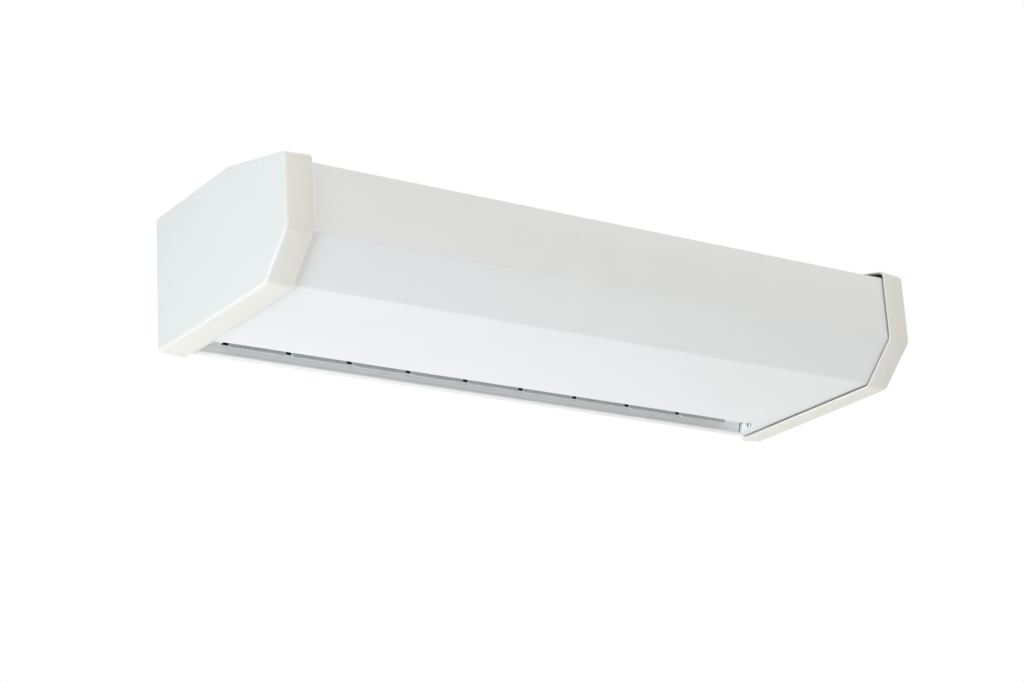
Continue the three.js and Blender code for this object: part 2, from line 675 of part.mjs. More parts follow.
// ---------------------------------------------------------------- wall brackets

function wallBracket(x) {
  const forward = -(SHEET + SEAT + BRACKET_T);
  const path = [
    [0, BRACKET_BOTTOM],
    [0, WINDOW_TOP - 3],
    [forward + BRACKET_T, WINDOW_TOP - SEAT + 0.2],
    [forward + BRACKET_T, WINDOW_TOP + HOOK],
  ];
  const middle = shifted(path, BRACKET_T / 2);
  const outline = [...shifted(middle, BRACKET_T / 2), ...shifted(middle, -BRACKET_T / 2).reverse()];
  const plate = alongX(outline, x - BRACKET_WIDTH / 2, x + BRACKET_WIDTH / 2);
  const holes = [-18, 18].map((dx) => rod(3, -5, 5, "-Y", [x + dx, 0, BRACKET_BOTTOM + 18], 16));
  return cut(plate, ...holes);
}
add("wall_bracket_left", wallBracket(-BRACKET_X), FINISH.galvanised);
add("wall_bracket_right", wallBracket(BRACKET_X), FINISH.galvanised);

// ---------------------------------------------------------------- blower housing

// Air side of the scroll: a log spiral round the back of the rotor, then a straight wall down to the tabs.
function scrollPath() {
  const start = ROTOR_R + RUNNING_GAP;
  const steps = 11;
  const spiral = Array.from({ length: steps + 1 }, (_, k) => {
    const turned = (SPIRAL_START * k) / steps;
    const radius = start * Math.exp(SPIRAL_GROWTH * THREE.MathUtils.degToRad(turned));
    return polar(radius, SPIRAL_START - turned);
  });
  const lip = [spiral[0][0] - 3, spiral[0][1] + 4];
  return [
    lip,
    ...spiral,
    [spiral.at(-1)[0] - 0.4, 40],
    [-TAB_FACE, TAB_BOTTOM + TAB_HEIGHT + 3],
    [-TAB_FACE, TAB_BOTTOM + TAB_LIP],
    [-TAB_FACE + TAB_LIP, TAB_BOTTOM],
  ];
}

// One notch between two tabs, with the tabs' lower corners rounded.
function notchOutline(x) {
  const half = TAB_NOTCH / 2;
  const low = TAB_BOTTOM;
  const corner = (sign) =>
    Array.from({ length: 3 }, (_, k) => {
      const a = (Math.PI / 2) * (k / 2);
      return [x + sign * (half + TAB_CORNER * (1 - Math.cos(a))), low + TAB_CORNER * (1 - Math.sin(a))];
    });
  const right = corner(1);
  const left = corner(-1).reverse();
  return [
    [x - half, low + TAB_HEIGHT],
    ...left.reverse(),
    [x - half - TAB_CORNER, low - 2],
    [x + half + TAB_CORNER, low - 2],
    ...right.reverse(),
    [x + half, low + TAB_HEIGHT],
  ];
}

function blowerScroll() {
  const air = scrollPath();
  const back = shifted(air, SCROLL_SHEET);
  const sheet = alongX([...air, ...back.reverse()], SCROLL_X0, SCROLL_X1);
  const notches = Array.from({ length: SEGMENTS + 1 }, (_, i) =>
    alongY(notchOutline(SCROLL_X0 + i * TAB_PITCH), -TAB_FACE - 3, -TAB_FACE + 3),
  );
  return cut(sheet, ...notches);
}
add("blower_scroll", blowerScroll(), FINISH.galvanised);

// The tongue splits inlet from outlet: a rounded nose below the rotor and a plate down to the deck.
function blowerTongue() {
  const [noseY, noseZ] = polar(ROTOR_R + RUNNING_GAP + NOSE_R, TONGUE_ANGLE);
  const nose = Array.from({ length: 7 }, (_, k) => {
    const a = THREE.MathUtils.degToRad(190 - 35 * k);
    return [noseY + NOSE_R * Math.cos(a), noseZ + NOSE_R * Math.sin(a)];
  });
  const path = [
    [noseY - 16, noseZ - 16],
    ...nose,
    [TROUGH_FRONT + 8, DECK_Z + 8],
    [TROUGH_FRONT + 3.4, DECK_Z + 0.5],
  ];
  const back = shifted(path, -SCROLL_SHEET);
  return alongX([...back, ...path.reverse()], SCROLL_X0, SCROLL_X1);
}
add("blower_tongue", blowerTongue(), FINISH.galvanised);

function blowerEnd(x0, outward, hole) {
  const front = ROTOR_Y - ROTOR_R - BLOWER_END_MARGIN;
  const top = HEIGHT - CHASSIS_INSET - BLOWER_END_GAP;
  const corner = BLOWER_END_CORNER;
  const outline = [
    [PANEL_FRONT, BLOWER_BOTTOM],
    [PANEL_FRONT, top],
    [front + corner, top],
    [front, top - corner],
    [front, BLOWER_BOTTOM + corner],
    [front + corner, BLOWER_BOTTOM],
  ];
  const x1 = x0 + outward * PLATE;
  const plate = alongX(outline, Math.min(x0, x1), Math.max(x0, x1));
  const flangeX = [x0, x0 + outward * BLOWER_END_FLANGE].sort((a, b) => a - b);
  const flange = box(...flangeX, PANEL_FRONT - PLATE, PANEL_FRONT, BLOWER_BOTTOM, top);
  const foot = box(...flangeX, TROUGH_FRONT - FOOT_FRONT, -FOOT_BACK, BLOWER_BOTTOM, BLOWER_BOTTOM + PLATE);
  return cut(join(plate, flange, foot), rod(hole, x0 - 5, x0 + 5, "X", axisAt, 24));
}

// three fixing points round the rotor axis
const spokes = (radius, from) => [0, 120, 240].map((turn) => polar(radius, from + turn));
const mountAt = spokes(MOUNT_RADIUS, 90);
const holderAt = spokes((HOLDER_D + RING_D) / 4 + 2, 30);

const leftEnd = cut(
  blowerEnd(BLOWER_LEFT, -1, RING_D / 2 + 2),
  ...holderAt.map(([y, z]) => rod(1.6 + SEAT, BLOWER_LEFT - 5, BLOWER_LEFT + 5, "X", [0, y, z], 8)),
);
const rightEnd = cut(
  blowerEnd(BLOWER_RIGHT, 1, SHAFT_D),
  ...mountAt.map(([y, z]) => rod(SCREW_D / 2 + SEAT, BLOWER_RIGHT - 5, BLOWER_RIGHT + 5, "X", [0, y, z], 8)),
);
add("blower_end_left", leftEnd, FINISH.galvanised);
add("blower_end_right", rightEnd, FINISH.galvanised);

// ---------------------------------------------------------------- rotor

// Section of a forward-leaning blade between the inner and outer blade circles.
function bladeSection(turn) {
  const lean = 9; // degrees from its inner to its outer edge
  const line = [polar(BLADE_INNER_D / 2, turn), polar(ROTOR_R - 1, turn + lean)];
  const back = shifted(line, BLADE_T / 2);
  const face = shifted(line, -BLADE_T / 2);
  return [...face, ...back.reverse()];
}

function rotor() {
  const pitch = (ROTOR_X1 - ROTOR_X0 - DISC_T) / SEGMENTS;
  const discs = Array.from({ length: SEGMENTS + 1 }, (_, i) => {
    const x = ROTOR_X0 + i * pitch;
    const ends = i === 0 || i === SEGMENTS;
    const bore = i === 0 ? BORE_R : i === SEGMENTS ? COUPLING_D / 2 + SEAT : BLADE_INNER_D / 2 - 5;
    return tube(ROTOR_R, bore, x, x + DISC_T, "X", axisAt, ends ? 24 : 16);
  });
  const hub = tube(9, BORE_R, ROTOR_X0, ROTOR_X0 + 18, "X", axisAt, 16);
  const collar = tube(
    COUPLING_D / 2 + 2.5, COUPLING_D / 2 + SEAT,
    ROTOR_X1 - 7, ROTOR_X1, "X", axisAt, 20,
  );
  const blades = Array.from({ length: BLADES }, (_, k) =>
    alongX(bladeSection((360 / BLADES) * k), ROTOR_X0 + 0.2, ROTOR_X1 - 0.2),
  );
  return join(...discs, hub, collar, ...blades);
}
add("rotor", rotor(), FINISH.aluminium);

const stubX1 = ROTOR_X0 + 16;
const stubX0 = stubX1 - STUB_LENGTH;
add("rotor_stub_shaft", rod(SHAFT_D / 2, stubX0, stubX1, "X", axisAt, 16), FINISH.steel);

// rubber coupling in the rotor's right end disc, driven by the motor shaft
const couplingX0 = ROTOR_X1 - 9;
const couplingX1 = ROTOR_X1 + 1.6;
add(
  "rotor_coupling",
  revolve(
    [
      [couplingX0 - 8, BORE_R],
      [couplingX0 - 8, 9],
      [couplingX0, 12],
      [couplingX0, COUPLING_D / 2],
      [ROTOR_X1 + SEAT, COUPLING_D / 2],
      [couplingX1, COUPLING_D / 2 - 3],
      [couplingX1, BORE_R],
    ],
    "X",
    axisAt,
    20,
  ),
  FINISH.rubber,
);

// ---------------------------------------------------------------- bearing

const holderX1 = BLOWER_LEFT - PLATE - SEAT; // flange face against the plate
add(
  "bearing_holder",
  cut(
    revolve(
      [
        [holderX1, RING_D / 2 + SEAT],
        [holderX1, HOLDER_D / 2],
        [holderX1 - HOLDER_FLANGE, HOLDER_D / 2],
        [holderX1 - HOLDER_FLANGE, RING_D / 2 + 4],
        [holderX1 - HOLDER_LENGTH, RING_D / 2 + 3],
        [holderX1 - HOLDER_LENGTH, BORE_R + 2],
        [holderX1 - HOLDER_LENGTH + 2, BORE_R + 2],
        [holderX1 - HOLDER_LENGTH + 2, RING_D / 2 + SEAT],
      ],
      "X",
      axisAt,
      20,
    ),
    ...holderAt.map(([y, z]) => rod(1.6 + SEAT, holderX1 - 8, holderX1 + 2, "X", [0, y, z], 8)),
  ),
  FINISH.black,
);
const ringX0 = holderX1 - HOLDER_LENGTH + 2 + SEAT;
add(
  "bearing_ring",
  tube(RING_D / 2, BUSH_D / 2 + SEAT, ringX0, ringX0 + BUSH_LENGTH - 2, "X", axisAt, 16),
  FINISH.rubber,
);
add("bearing_bush", tube(BUSH_D / 2, BORE_R, ringX0, ringX0 + BUSH_LENGTH, "X", axisAt, 16), FINISH.bronze);
holderAt.forEach(([y, z], i) => {
  const head = holderX1 - HOLDER_FLANGE - SEAT;
  add(`bearing_screw_${i + 1}`, panScrew(3.2, 8, "-X", [head, y, z], 8), FINISH.zinc);
});

// ---------------------------------------------------------------- motor

const statorX = MOTOR_X + BELL_FRONT;
const rearX = statorX + STATOR;
const motorEnd = rearX + BELL_REAR;
const motorR = MOTOR_D / 2;

function motorFrontBell() {
  const bell = revolve(
    [
      [MOTOR_X - 4, SHAFT_D / 2 + SEAT],
      [MOTOR_X - 4, 11],
      [MOTOR_X, 14],
      [MOTOR_X, motorR - 9],
      [MOTOR_X + 5, motorR - 1],
      [MOTOR_X + BELL_FRONT - SEAT, motorR],
      [MOTOR_X + BELL_FRONT - SEAT, 0],
      [MOTOR_X + 12, 0],
      [MOTOR_X + 12, SHAFT_D / 2 + SEAT],
    ],
    "X",
    axisAt,
    20,
  );
  const lugs = mountAt.map(([y, z], i) => {
    const lug = rod(7, MOTOR_X, MOTOR_X + LUG_T, "X", [0, y, z], 10);
    const [innerY, innerZ] = polar(motorR - 12, 90 + 120 * i);
    const web = new THREE.BoxGeometry(LUG_T, MOUNT_RADIUS - motorR + 14, 12);
    web.rotateX(THREE.MathUtils.degToRad(90 + 120 * i));
    web.translate(MOTOR_X + LUG_T / 2, (y + innerY) / 2, (z + innerZ) / 2);
    return join(lug, solid(web));
  });
  const vents = Array.from({ length: 6 }, (_, k) => {
    const [y, z] = polar(25, 30 + 60 * k);
    return rod(5, MOTOR_X - 1, MOTOR_X + 3, "X", [0, y, z], 5);
  });
  const holes = mountAt.map(([y, z]) =>
    rod(SCREW_D / 2 + SEAT, MOTOR_X - 2, MOTOR_X + 9, "X", [0, y, z], 8),
  );
  return cut(join(bell, ...lugs), ...vents, ...holes);
}

function motorRearBell() {
  const bell = revolve(
    [
      [rearX + SEAT, 0],
      [rearX + SEAT, motorR],
      [motorEnd - 5, motorR - 1],
      [motorEnd, motorR - 9],
      [motorEnd, 15],
      [motorEnd + 3, 12],
      [motorEnd + 3, 0],
    ],
    "X",
    axisAt,
    20,
  );
  const vents = Array.from({ length: 6 }, (_, k) => {
    const [y, z] = polar(26, 60 * k);
    return rod(5, motorEnd - 3, motorEnd + 1, "X", [0, y, z], 6);
  });
  return cut(bell, ...vents);
}

// laminated stack: a ring of shallow cooling grooves round a plain core
function motorStator() {
  const core = rod(motorR - 1.5, statorX, rearX, "X", axisAt, 20);
  const grooves = Array.from({ length: 8 }, (_, k) => {
    const [y, z] = polar(motorR - 1, 45 * k + 22);
    return rod(2.4, statorX - 1, rearX + 1, "X", [0, y, z], 6);
  });
  return cut(core, ...grooves);
}
add("motor_front_bell", motorFrontBell(), FINISH.cast);
add("motor_stator", motorStator(), FINISH.steel);
add("motor_rear_bell", motorRearBell(), FINISH.cast);
add("motor_shaft", rod(SHAFT_D / 2, couplingX0 - 6, MOTOR_X + 11, "X", axisAt, 16), FINISH.steel);

mountAt.forEach(([y, z], i) => {
  const x0 = BLOWER_RIGHT + PLATE + SEAT;
  const x1 = x0 + MOUNT_LENGTH;
  const waist = MOUNT_D / 2 - 1.6;
  const profile = [
    [x0, SCREW_D / 2 + SEAT],
    [x0, MOUNT_D / 2],
    [x0 + 1.8, MOUNT_D / 2],
    [x0 + 3, waist],
    [x1 - 1.8, MOUNT_D / 2],
    [x1, MOUNT_D / 2],
    [x1, SCREW_D / 2 + SEAT],
  ];
  add(`motor_mount_${i + 1}`, revolve(profile, "X", [0, y, z], 8), FINISH.rubber);
  const head = MOTOR_X + LUG_T + SEAT;
  const length = head - BLOWER_RIGHT + 1.5;
  add(`motor_screw_${i + 1}`, panScrew(SCREW_D, length, "X", [head, y, z], 8), FINISH.zinc);
});

// ---------------------------------------------------------------- electrics, on the right end plate

const panelX = END_RIGHT + PLATE + SEAT; // what stands on the plate starts here
const TERMINAL_WIDTH = 20;
const TERMINAL_HEIGHT = 17;
const CLIP_T = 1;

function capacitor() {
  const r = CAPACITOR_D / 2;
  const [y, z] = capacitorAt;
  const x = panelX + CLIP_T + SEAT + r + CLIP_T;
  const half = CAPACITOR_LENGTH / 2;
  const can = revolve(
    [[-half, 0], [-half, r - 2], [-half + 2, r], [half - 1.5, r], [half, r - 1.5], [half, 0]],
    "-Y",
    [x, y, z],
    20,
  );
  const blades = [-6, 6].map((dz) =>
    box(x - 3, x + 3, y - half - 9, y - half + 0.5, z + dz - 0.4, z + dz + 0.4),
  );
  return join(can, ...blades);
}

function capacitorClip() {
  const r = CAPACITOR_D / 2 + SEAT;
  const [y, z] = capacitorAt;
  const x = panelX + CLIP_T + SEAT + CAPACITOR_D / 2 + CLIP_T;
  const band = tube(r + CLIP_T, r, -9, 9, "-Y", [x, y, z], 20);
  const mouth = box(x + r * 0.75, x + r + 5, y - 12, y + 12, z - r, z + r);
  const foot = box(panelX, panelX + CLIP_T, y - 9, y + 9, z - 22, z + 12);
  const neck = box(panelX, x - r - 0.2, y - 9, y + 9, z - 4, z + 4);
  const hole = rod(1.6 + SEAT, panelX - 2, panelX + 4, "X", [0, ...clipScrewAt], 10);
  return cut(join(cut(band, mouth), foot, neck), hole);
}

function terminalBlock() {
  const [y, z] = terminalAt;
  const ways = 4;
  const pitch = TERMINAL_LENGTH / ways;
  const half = TERMINAL_LENGTH / 2;
  const base = box(panelX, panelX + 6, y - half, y + half, z - TERMINAL_WIDTH / 2, z + TERMINAL_WIDTH / 2);
  const posts = Array.from({ length: ways }, (_, k) => {
    const centre = y + (k - (ways - 1) / 2) * pitch;
    const reach = pitch / 2 - 1;
    const top = panelX + TERMINAL_HEIGHT;
    const post = box(panelX + 5, top, centre - reach, centre + reach, z - 8, z + 8);
    const screws = [-4, 4].map((dz) => rod(2.2, panelX + 10, top + 1, "X", [0, centre, z + dz], 6));
    const wireway = box(panelX + 7, panelX + 11, centre - 2, centre + 2, z - 12, z + 12);
    return cut(post, ...screws, wireway);
  });
  return join(base, ...posts);
}

add("run_capacitor", capacitor(), FINISH.capacitor);
add("capacitor_clip", capacitorClip(), FINISH.galvanised);
add("terminal_block", terminalBlock(), FINISH.terminal);

add("clip_screw", panScrew(3.2, 6, "X", [panelX + CLIP_T + SEAT, ...clipScrewAt], 8), FINISH.zinc);
add("earth_screw", panScrew(SCREW_D, 8, "X", [panelX, ...earthScrewAt], 8), FINISH.zinc);

// lead from the motor to the terminal block
function motorLead() {
  const leadX = rearX + BELL_REAR / 2 - 1;
  const from = new THREE.Vector3(leadX, ROTOR_Y - motorR - SEAT, ROTOR_Z);
  const to = new THREE.Vector3(panelX + 9, terminalAt[0] + TERMINAL_LENGTH / 2 + SEAT, terminalAt[1]);
  const pull = new THREE.Vector3(0, -LEAD_PULL, 0);
  const path = new THREE.CubicBezierCurve3(from, from.clone().add(pull), to.clone().sub(pull), to);
  const section = new THREE.Shape().absarc(0, 0, LEAD_D / 2, 0, 2 * Math.PI, true);
  return solidFacingOut(
    new THREE.ExtrudeGeometry(section, { steps: 7, curveSegments: 6, bevelEnabled: false, extrudePath: path }),
  );
}
add("motor_lead", motorLead(), FINISH.cable);

// rubber grommet where the supply enters through the top
const topSheet = HEIGHT - COVER_INSET;
add(
  "cable_grommet",
  revolve(
    [
      [topSheet - SHEET - 3, 6],
      [topSheet - SHEET - 3, GROMMET_HOLE / 2 + 3],
      [topSheet - SHEET - SEAT, GROMMET_HOLE / 2 + 3],
      [topSheet - SHEET - SEAT, GROMMET_HOLE / 2 - SEAT],
      [topSheet + SEAT, GROMMET_HOLE / 2 - SEAT],
      [topSheet + SEAT, GROMMET_HOLE / 2 + 3],
      [topSheet + 2.4, GROMMET_HOLE / 2 + 1],
      [topSheet + 2.4, 0],
      [topSheet + 1.2, 0],
      [topSheet + 1.2, 6],
    ],
    "Z",
    [GROMMET_X, GROMMET_Y, 0],
    16,
  ),
  FINISH.rubber,
);

export default airCurtain;
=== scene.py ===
import math

import bmesh
import bpy
from mathutils import Matrix, Vector


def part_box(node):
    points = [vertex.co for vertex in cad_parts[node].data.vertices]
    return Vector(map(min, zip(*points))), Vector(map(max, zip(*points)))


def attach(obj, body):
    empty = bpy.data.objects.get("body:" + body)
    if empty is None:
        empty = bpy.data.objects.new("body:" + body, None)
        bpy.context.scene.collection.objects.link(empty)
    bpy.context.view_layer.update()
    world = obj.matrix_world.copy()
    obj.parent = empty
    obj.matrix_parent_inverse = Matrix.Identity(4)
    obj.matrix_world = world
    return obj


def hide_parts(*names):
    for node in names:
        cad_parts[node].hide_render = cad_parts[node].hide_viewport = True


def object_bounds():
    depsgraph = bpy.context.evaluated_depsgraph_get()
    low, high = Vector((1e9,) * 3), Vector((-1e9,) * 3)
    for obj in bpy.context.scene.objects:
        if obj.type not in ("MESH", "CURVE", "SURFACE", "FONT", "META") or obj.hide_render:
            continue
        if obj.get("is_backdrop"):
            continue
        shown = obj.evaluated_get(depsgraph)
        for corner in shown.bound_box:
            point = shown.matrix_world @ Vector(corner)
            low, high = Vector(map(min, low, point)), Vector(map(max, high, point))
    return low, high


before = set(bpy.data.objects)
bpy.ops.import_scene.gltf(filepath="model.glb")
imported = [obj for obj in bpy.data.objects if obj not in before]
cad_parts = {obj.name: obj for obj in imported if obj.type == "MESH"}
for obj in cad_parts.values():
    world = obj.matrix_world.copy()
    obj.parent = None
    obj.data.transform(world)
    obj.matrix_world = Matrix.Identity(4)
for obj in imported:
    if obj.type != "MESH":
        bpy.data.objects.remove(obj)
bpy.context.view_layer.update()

# ---------------------------------------------------------------- camera
# The unit hangs above eye level and is seen from the front left, looking up, through a long lens.
# The camera stands 3 m away, and its three axes come from the edges measured in the photograph.
PHOTO_WIDTH = 1024
FOCAL_PIXELS = 2463.7
SENSOR_WIDTH = 36  # millimetres
RIGHT = (0.82387, -0.56384, -0.05757)
UP = (-0.13697, -0.29663, 0.94512)
BACK = (-0.54997, -0.77077, -0.32162)
CAMERA_PLACE = (-1.6721, -2.4118, -1.0029)

bpy.ops.object.camera_add(location=CAMERA_PLACE)
camera = bpy.context.object
turned = Matrix((RIGHT, UP, BACK)).transposed().to_4x4()
camera.matrix_world = Matrix.Translation(CAMERA_PLACE) @ turned
camera.data.sensor_width = SENSOR_WIDTH
camera.data.lens = SENSOR_WIDTH * FOCAL_PIXELS / PHOTO_WIDTH
camera.data.clip_start = 0.05
camera.data.clip_end = 60
bpy.context.scene.camera = camera
bpy.context.scene.view_settings.view_transform = "Standard"

# ---------------------------------------------------------------- light
# A white studio: an even white surround and large soft lamps on every side. The brightest stand low
# at the left end, where they are cool, and high in front. One from below stands in for the pale floor.


def linear(code):
    """The linear colour of a #rrggbb code, as a shader's socket takes it."""
    channels = [int(code[i:i + 2], 16) / 255 for i in (1, 3, 5)]
    return [c / 12.92 if c <= 0.04045 else ((c + 0.055) / 1.055) ** 2.4 for c in channels] + [1.0]


def add_node(tree, kind, inputs=None, **settings):
    """Adds a node. An input is either a value or the output socket that feeds it."""
    node = tree.nodes.new(kind)
    for name, value in settings.items():
        setattr(node, name, value)
    for key, value in (inputs or {}).items():
        if isinstance(value, bpy.types.NodeSocket):
            tree.links.new(value, node.inputs[key])
        else:
            node.inputs[key].default_value = value
    return node


SURROUND = 0.3  # light that the surround gives, where what is seen of it is plain white

world = bpy.data.worlds.new("white_surround")
world.use_nodes = True
bpy.context.scene.world = world
sky = world.node_tree
sky.nodes.clear()
ray = add_node(sky, "ShaderNodeLightPath")
mirrored = add_node(sky, "ShaderNodeMath",
                    {0: ray.outputs["Is Glossy Ray"], 1: ray.outputs["Is Transmission Ray"]},
                    operation="MAXIMUM")
seen = add_node(sky, "ShaderNodeMath", {0: ray.outputs["Is Camera Ray"], 1: mirrored.outputs[0]},
                operation="MAXIMUM")
lit = add_node(sky, "ShaderNodeBackground", {"Color": linear("#ffffff"), "Strength": SURROUND})
plain = add_node(sky, "ShaderNodeBackground", {"Color": linear("#ffffff"), "Strength": 1.0})
either = add_node(sky, "ShaderNodeMixShader", {0: seen.outputs[0], 1: lit.outputs[0], 2: plain.outputs[0]})
add_node(sky, "ShaderNodeOutputWorld", {"Surface": either.outputs[0]})


def soft_lamp(name, place, target, size, power, colour):
    bpy.ops.object.light_add(type="AREA", location=place)
    lamp = bpy.context.object
    lamp.name = name
    lamp.rotation_euler = (Vector(target) - Vector(place)).to_track_quat("-Z", "Y").to_euler()
    lamp.data.shape = "SQUARE"
    lamp.data.size = size
    lamp.data.energy = power
    lamp.data.color = linear(colour)[:3]


soft_lamp("floor_bounce", (0, 0.7, -1.95), (0, -0.15, 0), 2.4, 20, "#fffcff")
soft_lamp("window_side", (-3.4, -0.5, 0.5), (0, -0.15, 0), 2.6, 9, "#e4f0ff")
soft_lamp("front_fill", (0.2, -3.2, 1.7), (0, -0.2, 0), 2.4, 53, "#fefdfd")
soft_lamp("low_side", (-3.3, -0.5, -1.0), (0, -0.15, -0.08), 1.6, 73, "#e1f2ff")
soft_lamp("low_front", (-0.4, -3.2, -1.0), (0, -0.2, -0.05), 1.8, 7, "#fff6e1")
soft_lamp("overhead", (0, 0.5, 2.4), (0, -0.1, 0), 2.4, 25, "#ffffff")
soft_lamp("right_fill", (3.4, 0.4, 0.2), (0, -0.15, 0), 2.4, 45, "#fffdf8")
soft_lamp("rear_fill", (1.5, 3.4, 0.8), (0, -0.15, 0), 2.4, 45, "#ffffff")

# ---------------------------------------------------------------- floor
# A plain pale studio floor, 2.2 m under the unit, where a doorway's floor would be. Its matt paint
# throws a soft light back up.
FLOOR_Z = -2.28


def new_material(name):
    """An empty node material and its tree."""
    material = bpy.data.materials.new(name)
    material.use_nodes = True
    material.node_tree.nodes.clear()
    return material, material.node_tree


bpy.ops.mesh.primitive_plane_add(size=14, location=(0, 0, FLOOR_Z))
floor = bpy.context.object
floor.name = "studio_floor"
floor_paint, tree = new_material("pale_floor")
shader = add_node(tree, "ShaderNodeBsdfPrincipled", {"Base Color": linear("#ececea"), "Roughness": 0.9})
add_node(tree, "ShaderNodeOutputMaterial", {"Surface": shader.outputs[0]})
floor.data.materials.append(floor_paint)
floor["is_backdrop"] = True

# ---------------------------------------------------------------- painted steel: back and chassis ends
# Folded 1.2 mm steel sheet under a white powder coat, which is satin and very slightly pebbled.
# The back panel also forms the outlet trough; the two end plates close the slot at its ends. Its
# inner face is painted near-black as painted shade, so the notches between the blower's tabs look black.
SHEET = 0.0012
DECK_MIDDLE = -0.065  # halfway through the trough's deck, and through the top
TOP_MIDDLE = 0.0799
# The back panel's inner face, which gets a near-black painted shade.
PAINTED_SHADE_FACE = (("Y", "LESS_THAN", -SHEET / 2), ("Z", "GREATER_THAN", DECK_MIDDLE),
              ("Z", "LESS_THAN", TOP_MIDDLE))
PEBBLE_STRENGTH = 0.35
PLASTIC_IOR = 1.5  # of coats and mouldings alike
GLOSS_SWING = 0.03  # how far the roughness strays to each side in the clouds


def coated(name, pale, deep, roughness, grain, relief, cloud=0.06, painted_shade=None):
    """An opaque coat or moulding: two near colours in soft clouds, with a fine even grain.
    The last argument, if given, is a near-black colour painted as shade on the back panel's inner face,
    behind the outlet and up to the top."""
    material, tree = new_material(name)
    place = add_node(tree, "ShaderNodeTexCoord").outputs["Object"]
    clouds = add_node(tree, "ShaderNodeTexNoise", {"Vector": place, "Scale": 1 / cloud, "Detail": 3.0})
    tint = add_node(tree, "ShaderNodeMix", {0: clouds.outputs[0], 6: linear(pale), 7: linear(deep)},
                    data_type="RGBA")
    pebble = add_node(tree, "ShaderNodeTexNoise", {"Vector": place, "Scale": 1 / grain, "Detail": 2.0})
    bump = add_node(tree, "ShaderNodeBump",
                    {"Height": pebble.outputs[0], "Strength": PEBBLE_STRENGTH, "Distance": relief})
    gloss = add_node(tree, "ShaderNodeMapRange",
                     {0: clouds.outputs[0], 3: roughness - GLOSS_SWING, 4: roughness + GLOSS_SWING})
    # Painted shade: near-black on the back panel's inner face, where shadow would fall.
    if painted_shade:
        across = add_node(tree, "ShaderNodeSeparateXYZ", {0: place})
        inner = 1.0
        for axis, side, limit in PAINTED_SHADE_FACE:
            within = add_node(tree, "ShaderNodeMath", {0: across.outputs[axis], 1: limit}, operation=side)
            inner = add_node(tree, "ShaderNodeMath", {0: inner, 1: within.outputs[0]},
                             operation="MULTIPLY").outputs[0]
        tint = add_node(tree, "ShaderNodeMix", {0: inner, 6: tint.outputs[2], 7: linear(painted_shade)},
                        data_type="RGBA")
    shader = add_node(tree, "ShaderNodeBsdfPrincipled",
                      {"Base Color": tint.outputs[2], "Roughness": gloss.outputs[0],
                       "Normal": bump.outputs[0], "IOR": PLASTIC_IOR})
    add_node(tree, "ShaderNodeOutputMaterial", {"Surface": shader.outputs[0]})
    return material


def dress(material, *names):
    """Gives CAD nodes a finish."""
    for name in names:
        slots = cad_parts[name].data.materials
        slots.clear()
        slots.append(material)


COAT = ("#eaeae9", "#e7e7e6", 0.38, 0.0016, 0.00006)
powder_coat = coated("white_powder_coat", *COAT)
# The back panel's coat, with a near-black painted shade on its inner face.
panel_coat_and_painted_shade = coated("white_coat_painted_shade_inside", *COAT, painted_shade="#1b1d1f")
dress(panel_coat_and_painted_shade, "back_panel")
dress(powder_coat, "chassis_end_left", "chassis_end_right")

# ---------------------------------------------------------------- front cover
# One 1.2 mm painted sheet: underside, chamfer and front, with two soft folds. Its upper and rear
# edges are rolled back flat on themselves between the end plates, so no raw edge shows.
FOLD_RADIUS = 0.0036
HEM = 0.010
HEM_STEP = SHEET * 1.04  # from the middle of the sheet to the middle of its rolled-back edge
HEM_LEFT, HEM_RIGHT = -0.404, 0.4026
RAW_EDGE_R = 0.00025
SHARP = math.radians(60)  # only edges sharper than this are rounded
cover_low, cover_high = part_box("front_cover")
FRONT_FOLD = (-0.2965, -0.0321)  # outer corners of the two folds: y, z
UNDER_FOLD = (-0.2496, -0.0785)


def start(adder, **where):
    """Adds a primitive as the only selected object and opens it for editing."""
    bpy.ops.object.select_all(action="DESELECT")
    adder(**where)
    bpy.ops.object.mode_set(mode="EDIT")
    return bpy.context.object


def pick(kind, test):
    """In edit mode, selects just the corners, edges or faces that pass the test."""
    bpy.ops.mesh.select_mode(type=kind)
    bpy.ops.mesh.select_all(action="DESELECT")
    data = bpy.context.object.data
    mesh = bmesh.from_edit_mesh(data)
    for element in {"VERT": mesh.verts, "EDGE": mesh.edges, "FACE": mesh.faces}[kind]:
        if test(element):
            element.select_set(True)
    mesh.select_flush_mode()
    bmesh.update_edit_mesh(data)


def middle(element):
    points = [corner.co for corner in element.verts]
    return sum(points, Vector()) / len(points)


def along(edge, axis):
    """True for an edge that runs along X, Y or Z (0, 1 or 2)."""
    run = edge.verts[1].co - edge.verts[0].co
    return abs(run[axis]) > 0.999 * run.length


def near(point, **place):
    """True where the point has these coordinates, to a tenth of a millimetre."""
    return all(abs(getattr(point, axis) - value) < 1e-4 for axis, value in place.items())


def extrude(dx, dy, dz):
    bpy.ops.mesh.extrude_region_move(TRANSFORM_OT_translate={"value": (dx, dy, dz)})


def split(point, normal, **how):
    bpy.ops.mesh.select_all(action="SELECT")
    bpy.ops.mesh.bisect(plane_co=point, plane_no=normal, **how)


def apply_modifier(obj, kind, **settings):
    modifier = obj.modifiers.new(kind.lower(), kind)
    for name, value in settings.items():
        setattr(modifier, name, value)
    bpy.ops.object.select_all(action="DESELECT")
    bpy.context.view_layer.objects.active = obj
    obj.select_set(True)
    bpy.ops.object.modifier_apply(modifier=modifier.name)


def soften(obj, angle=40):
    """Smooth shading, except across edges sharper than the angle."""
    bpy.ops.object.mode_set(mode="OBJECT")
    bpy.ops.object.select_all(action="DESELECT")
    bpy.context.view_layer.objects.active = obj
    obj.select_set(True)
    bpy.ops.object.shade_smooth_by_angle(angle=math.radians(angle))


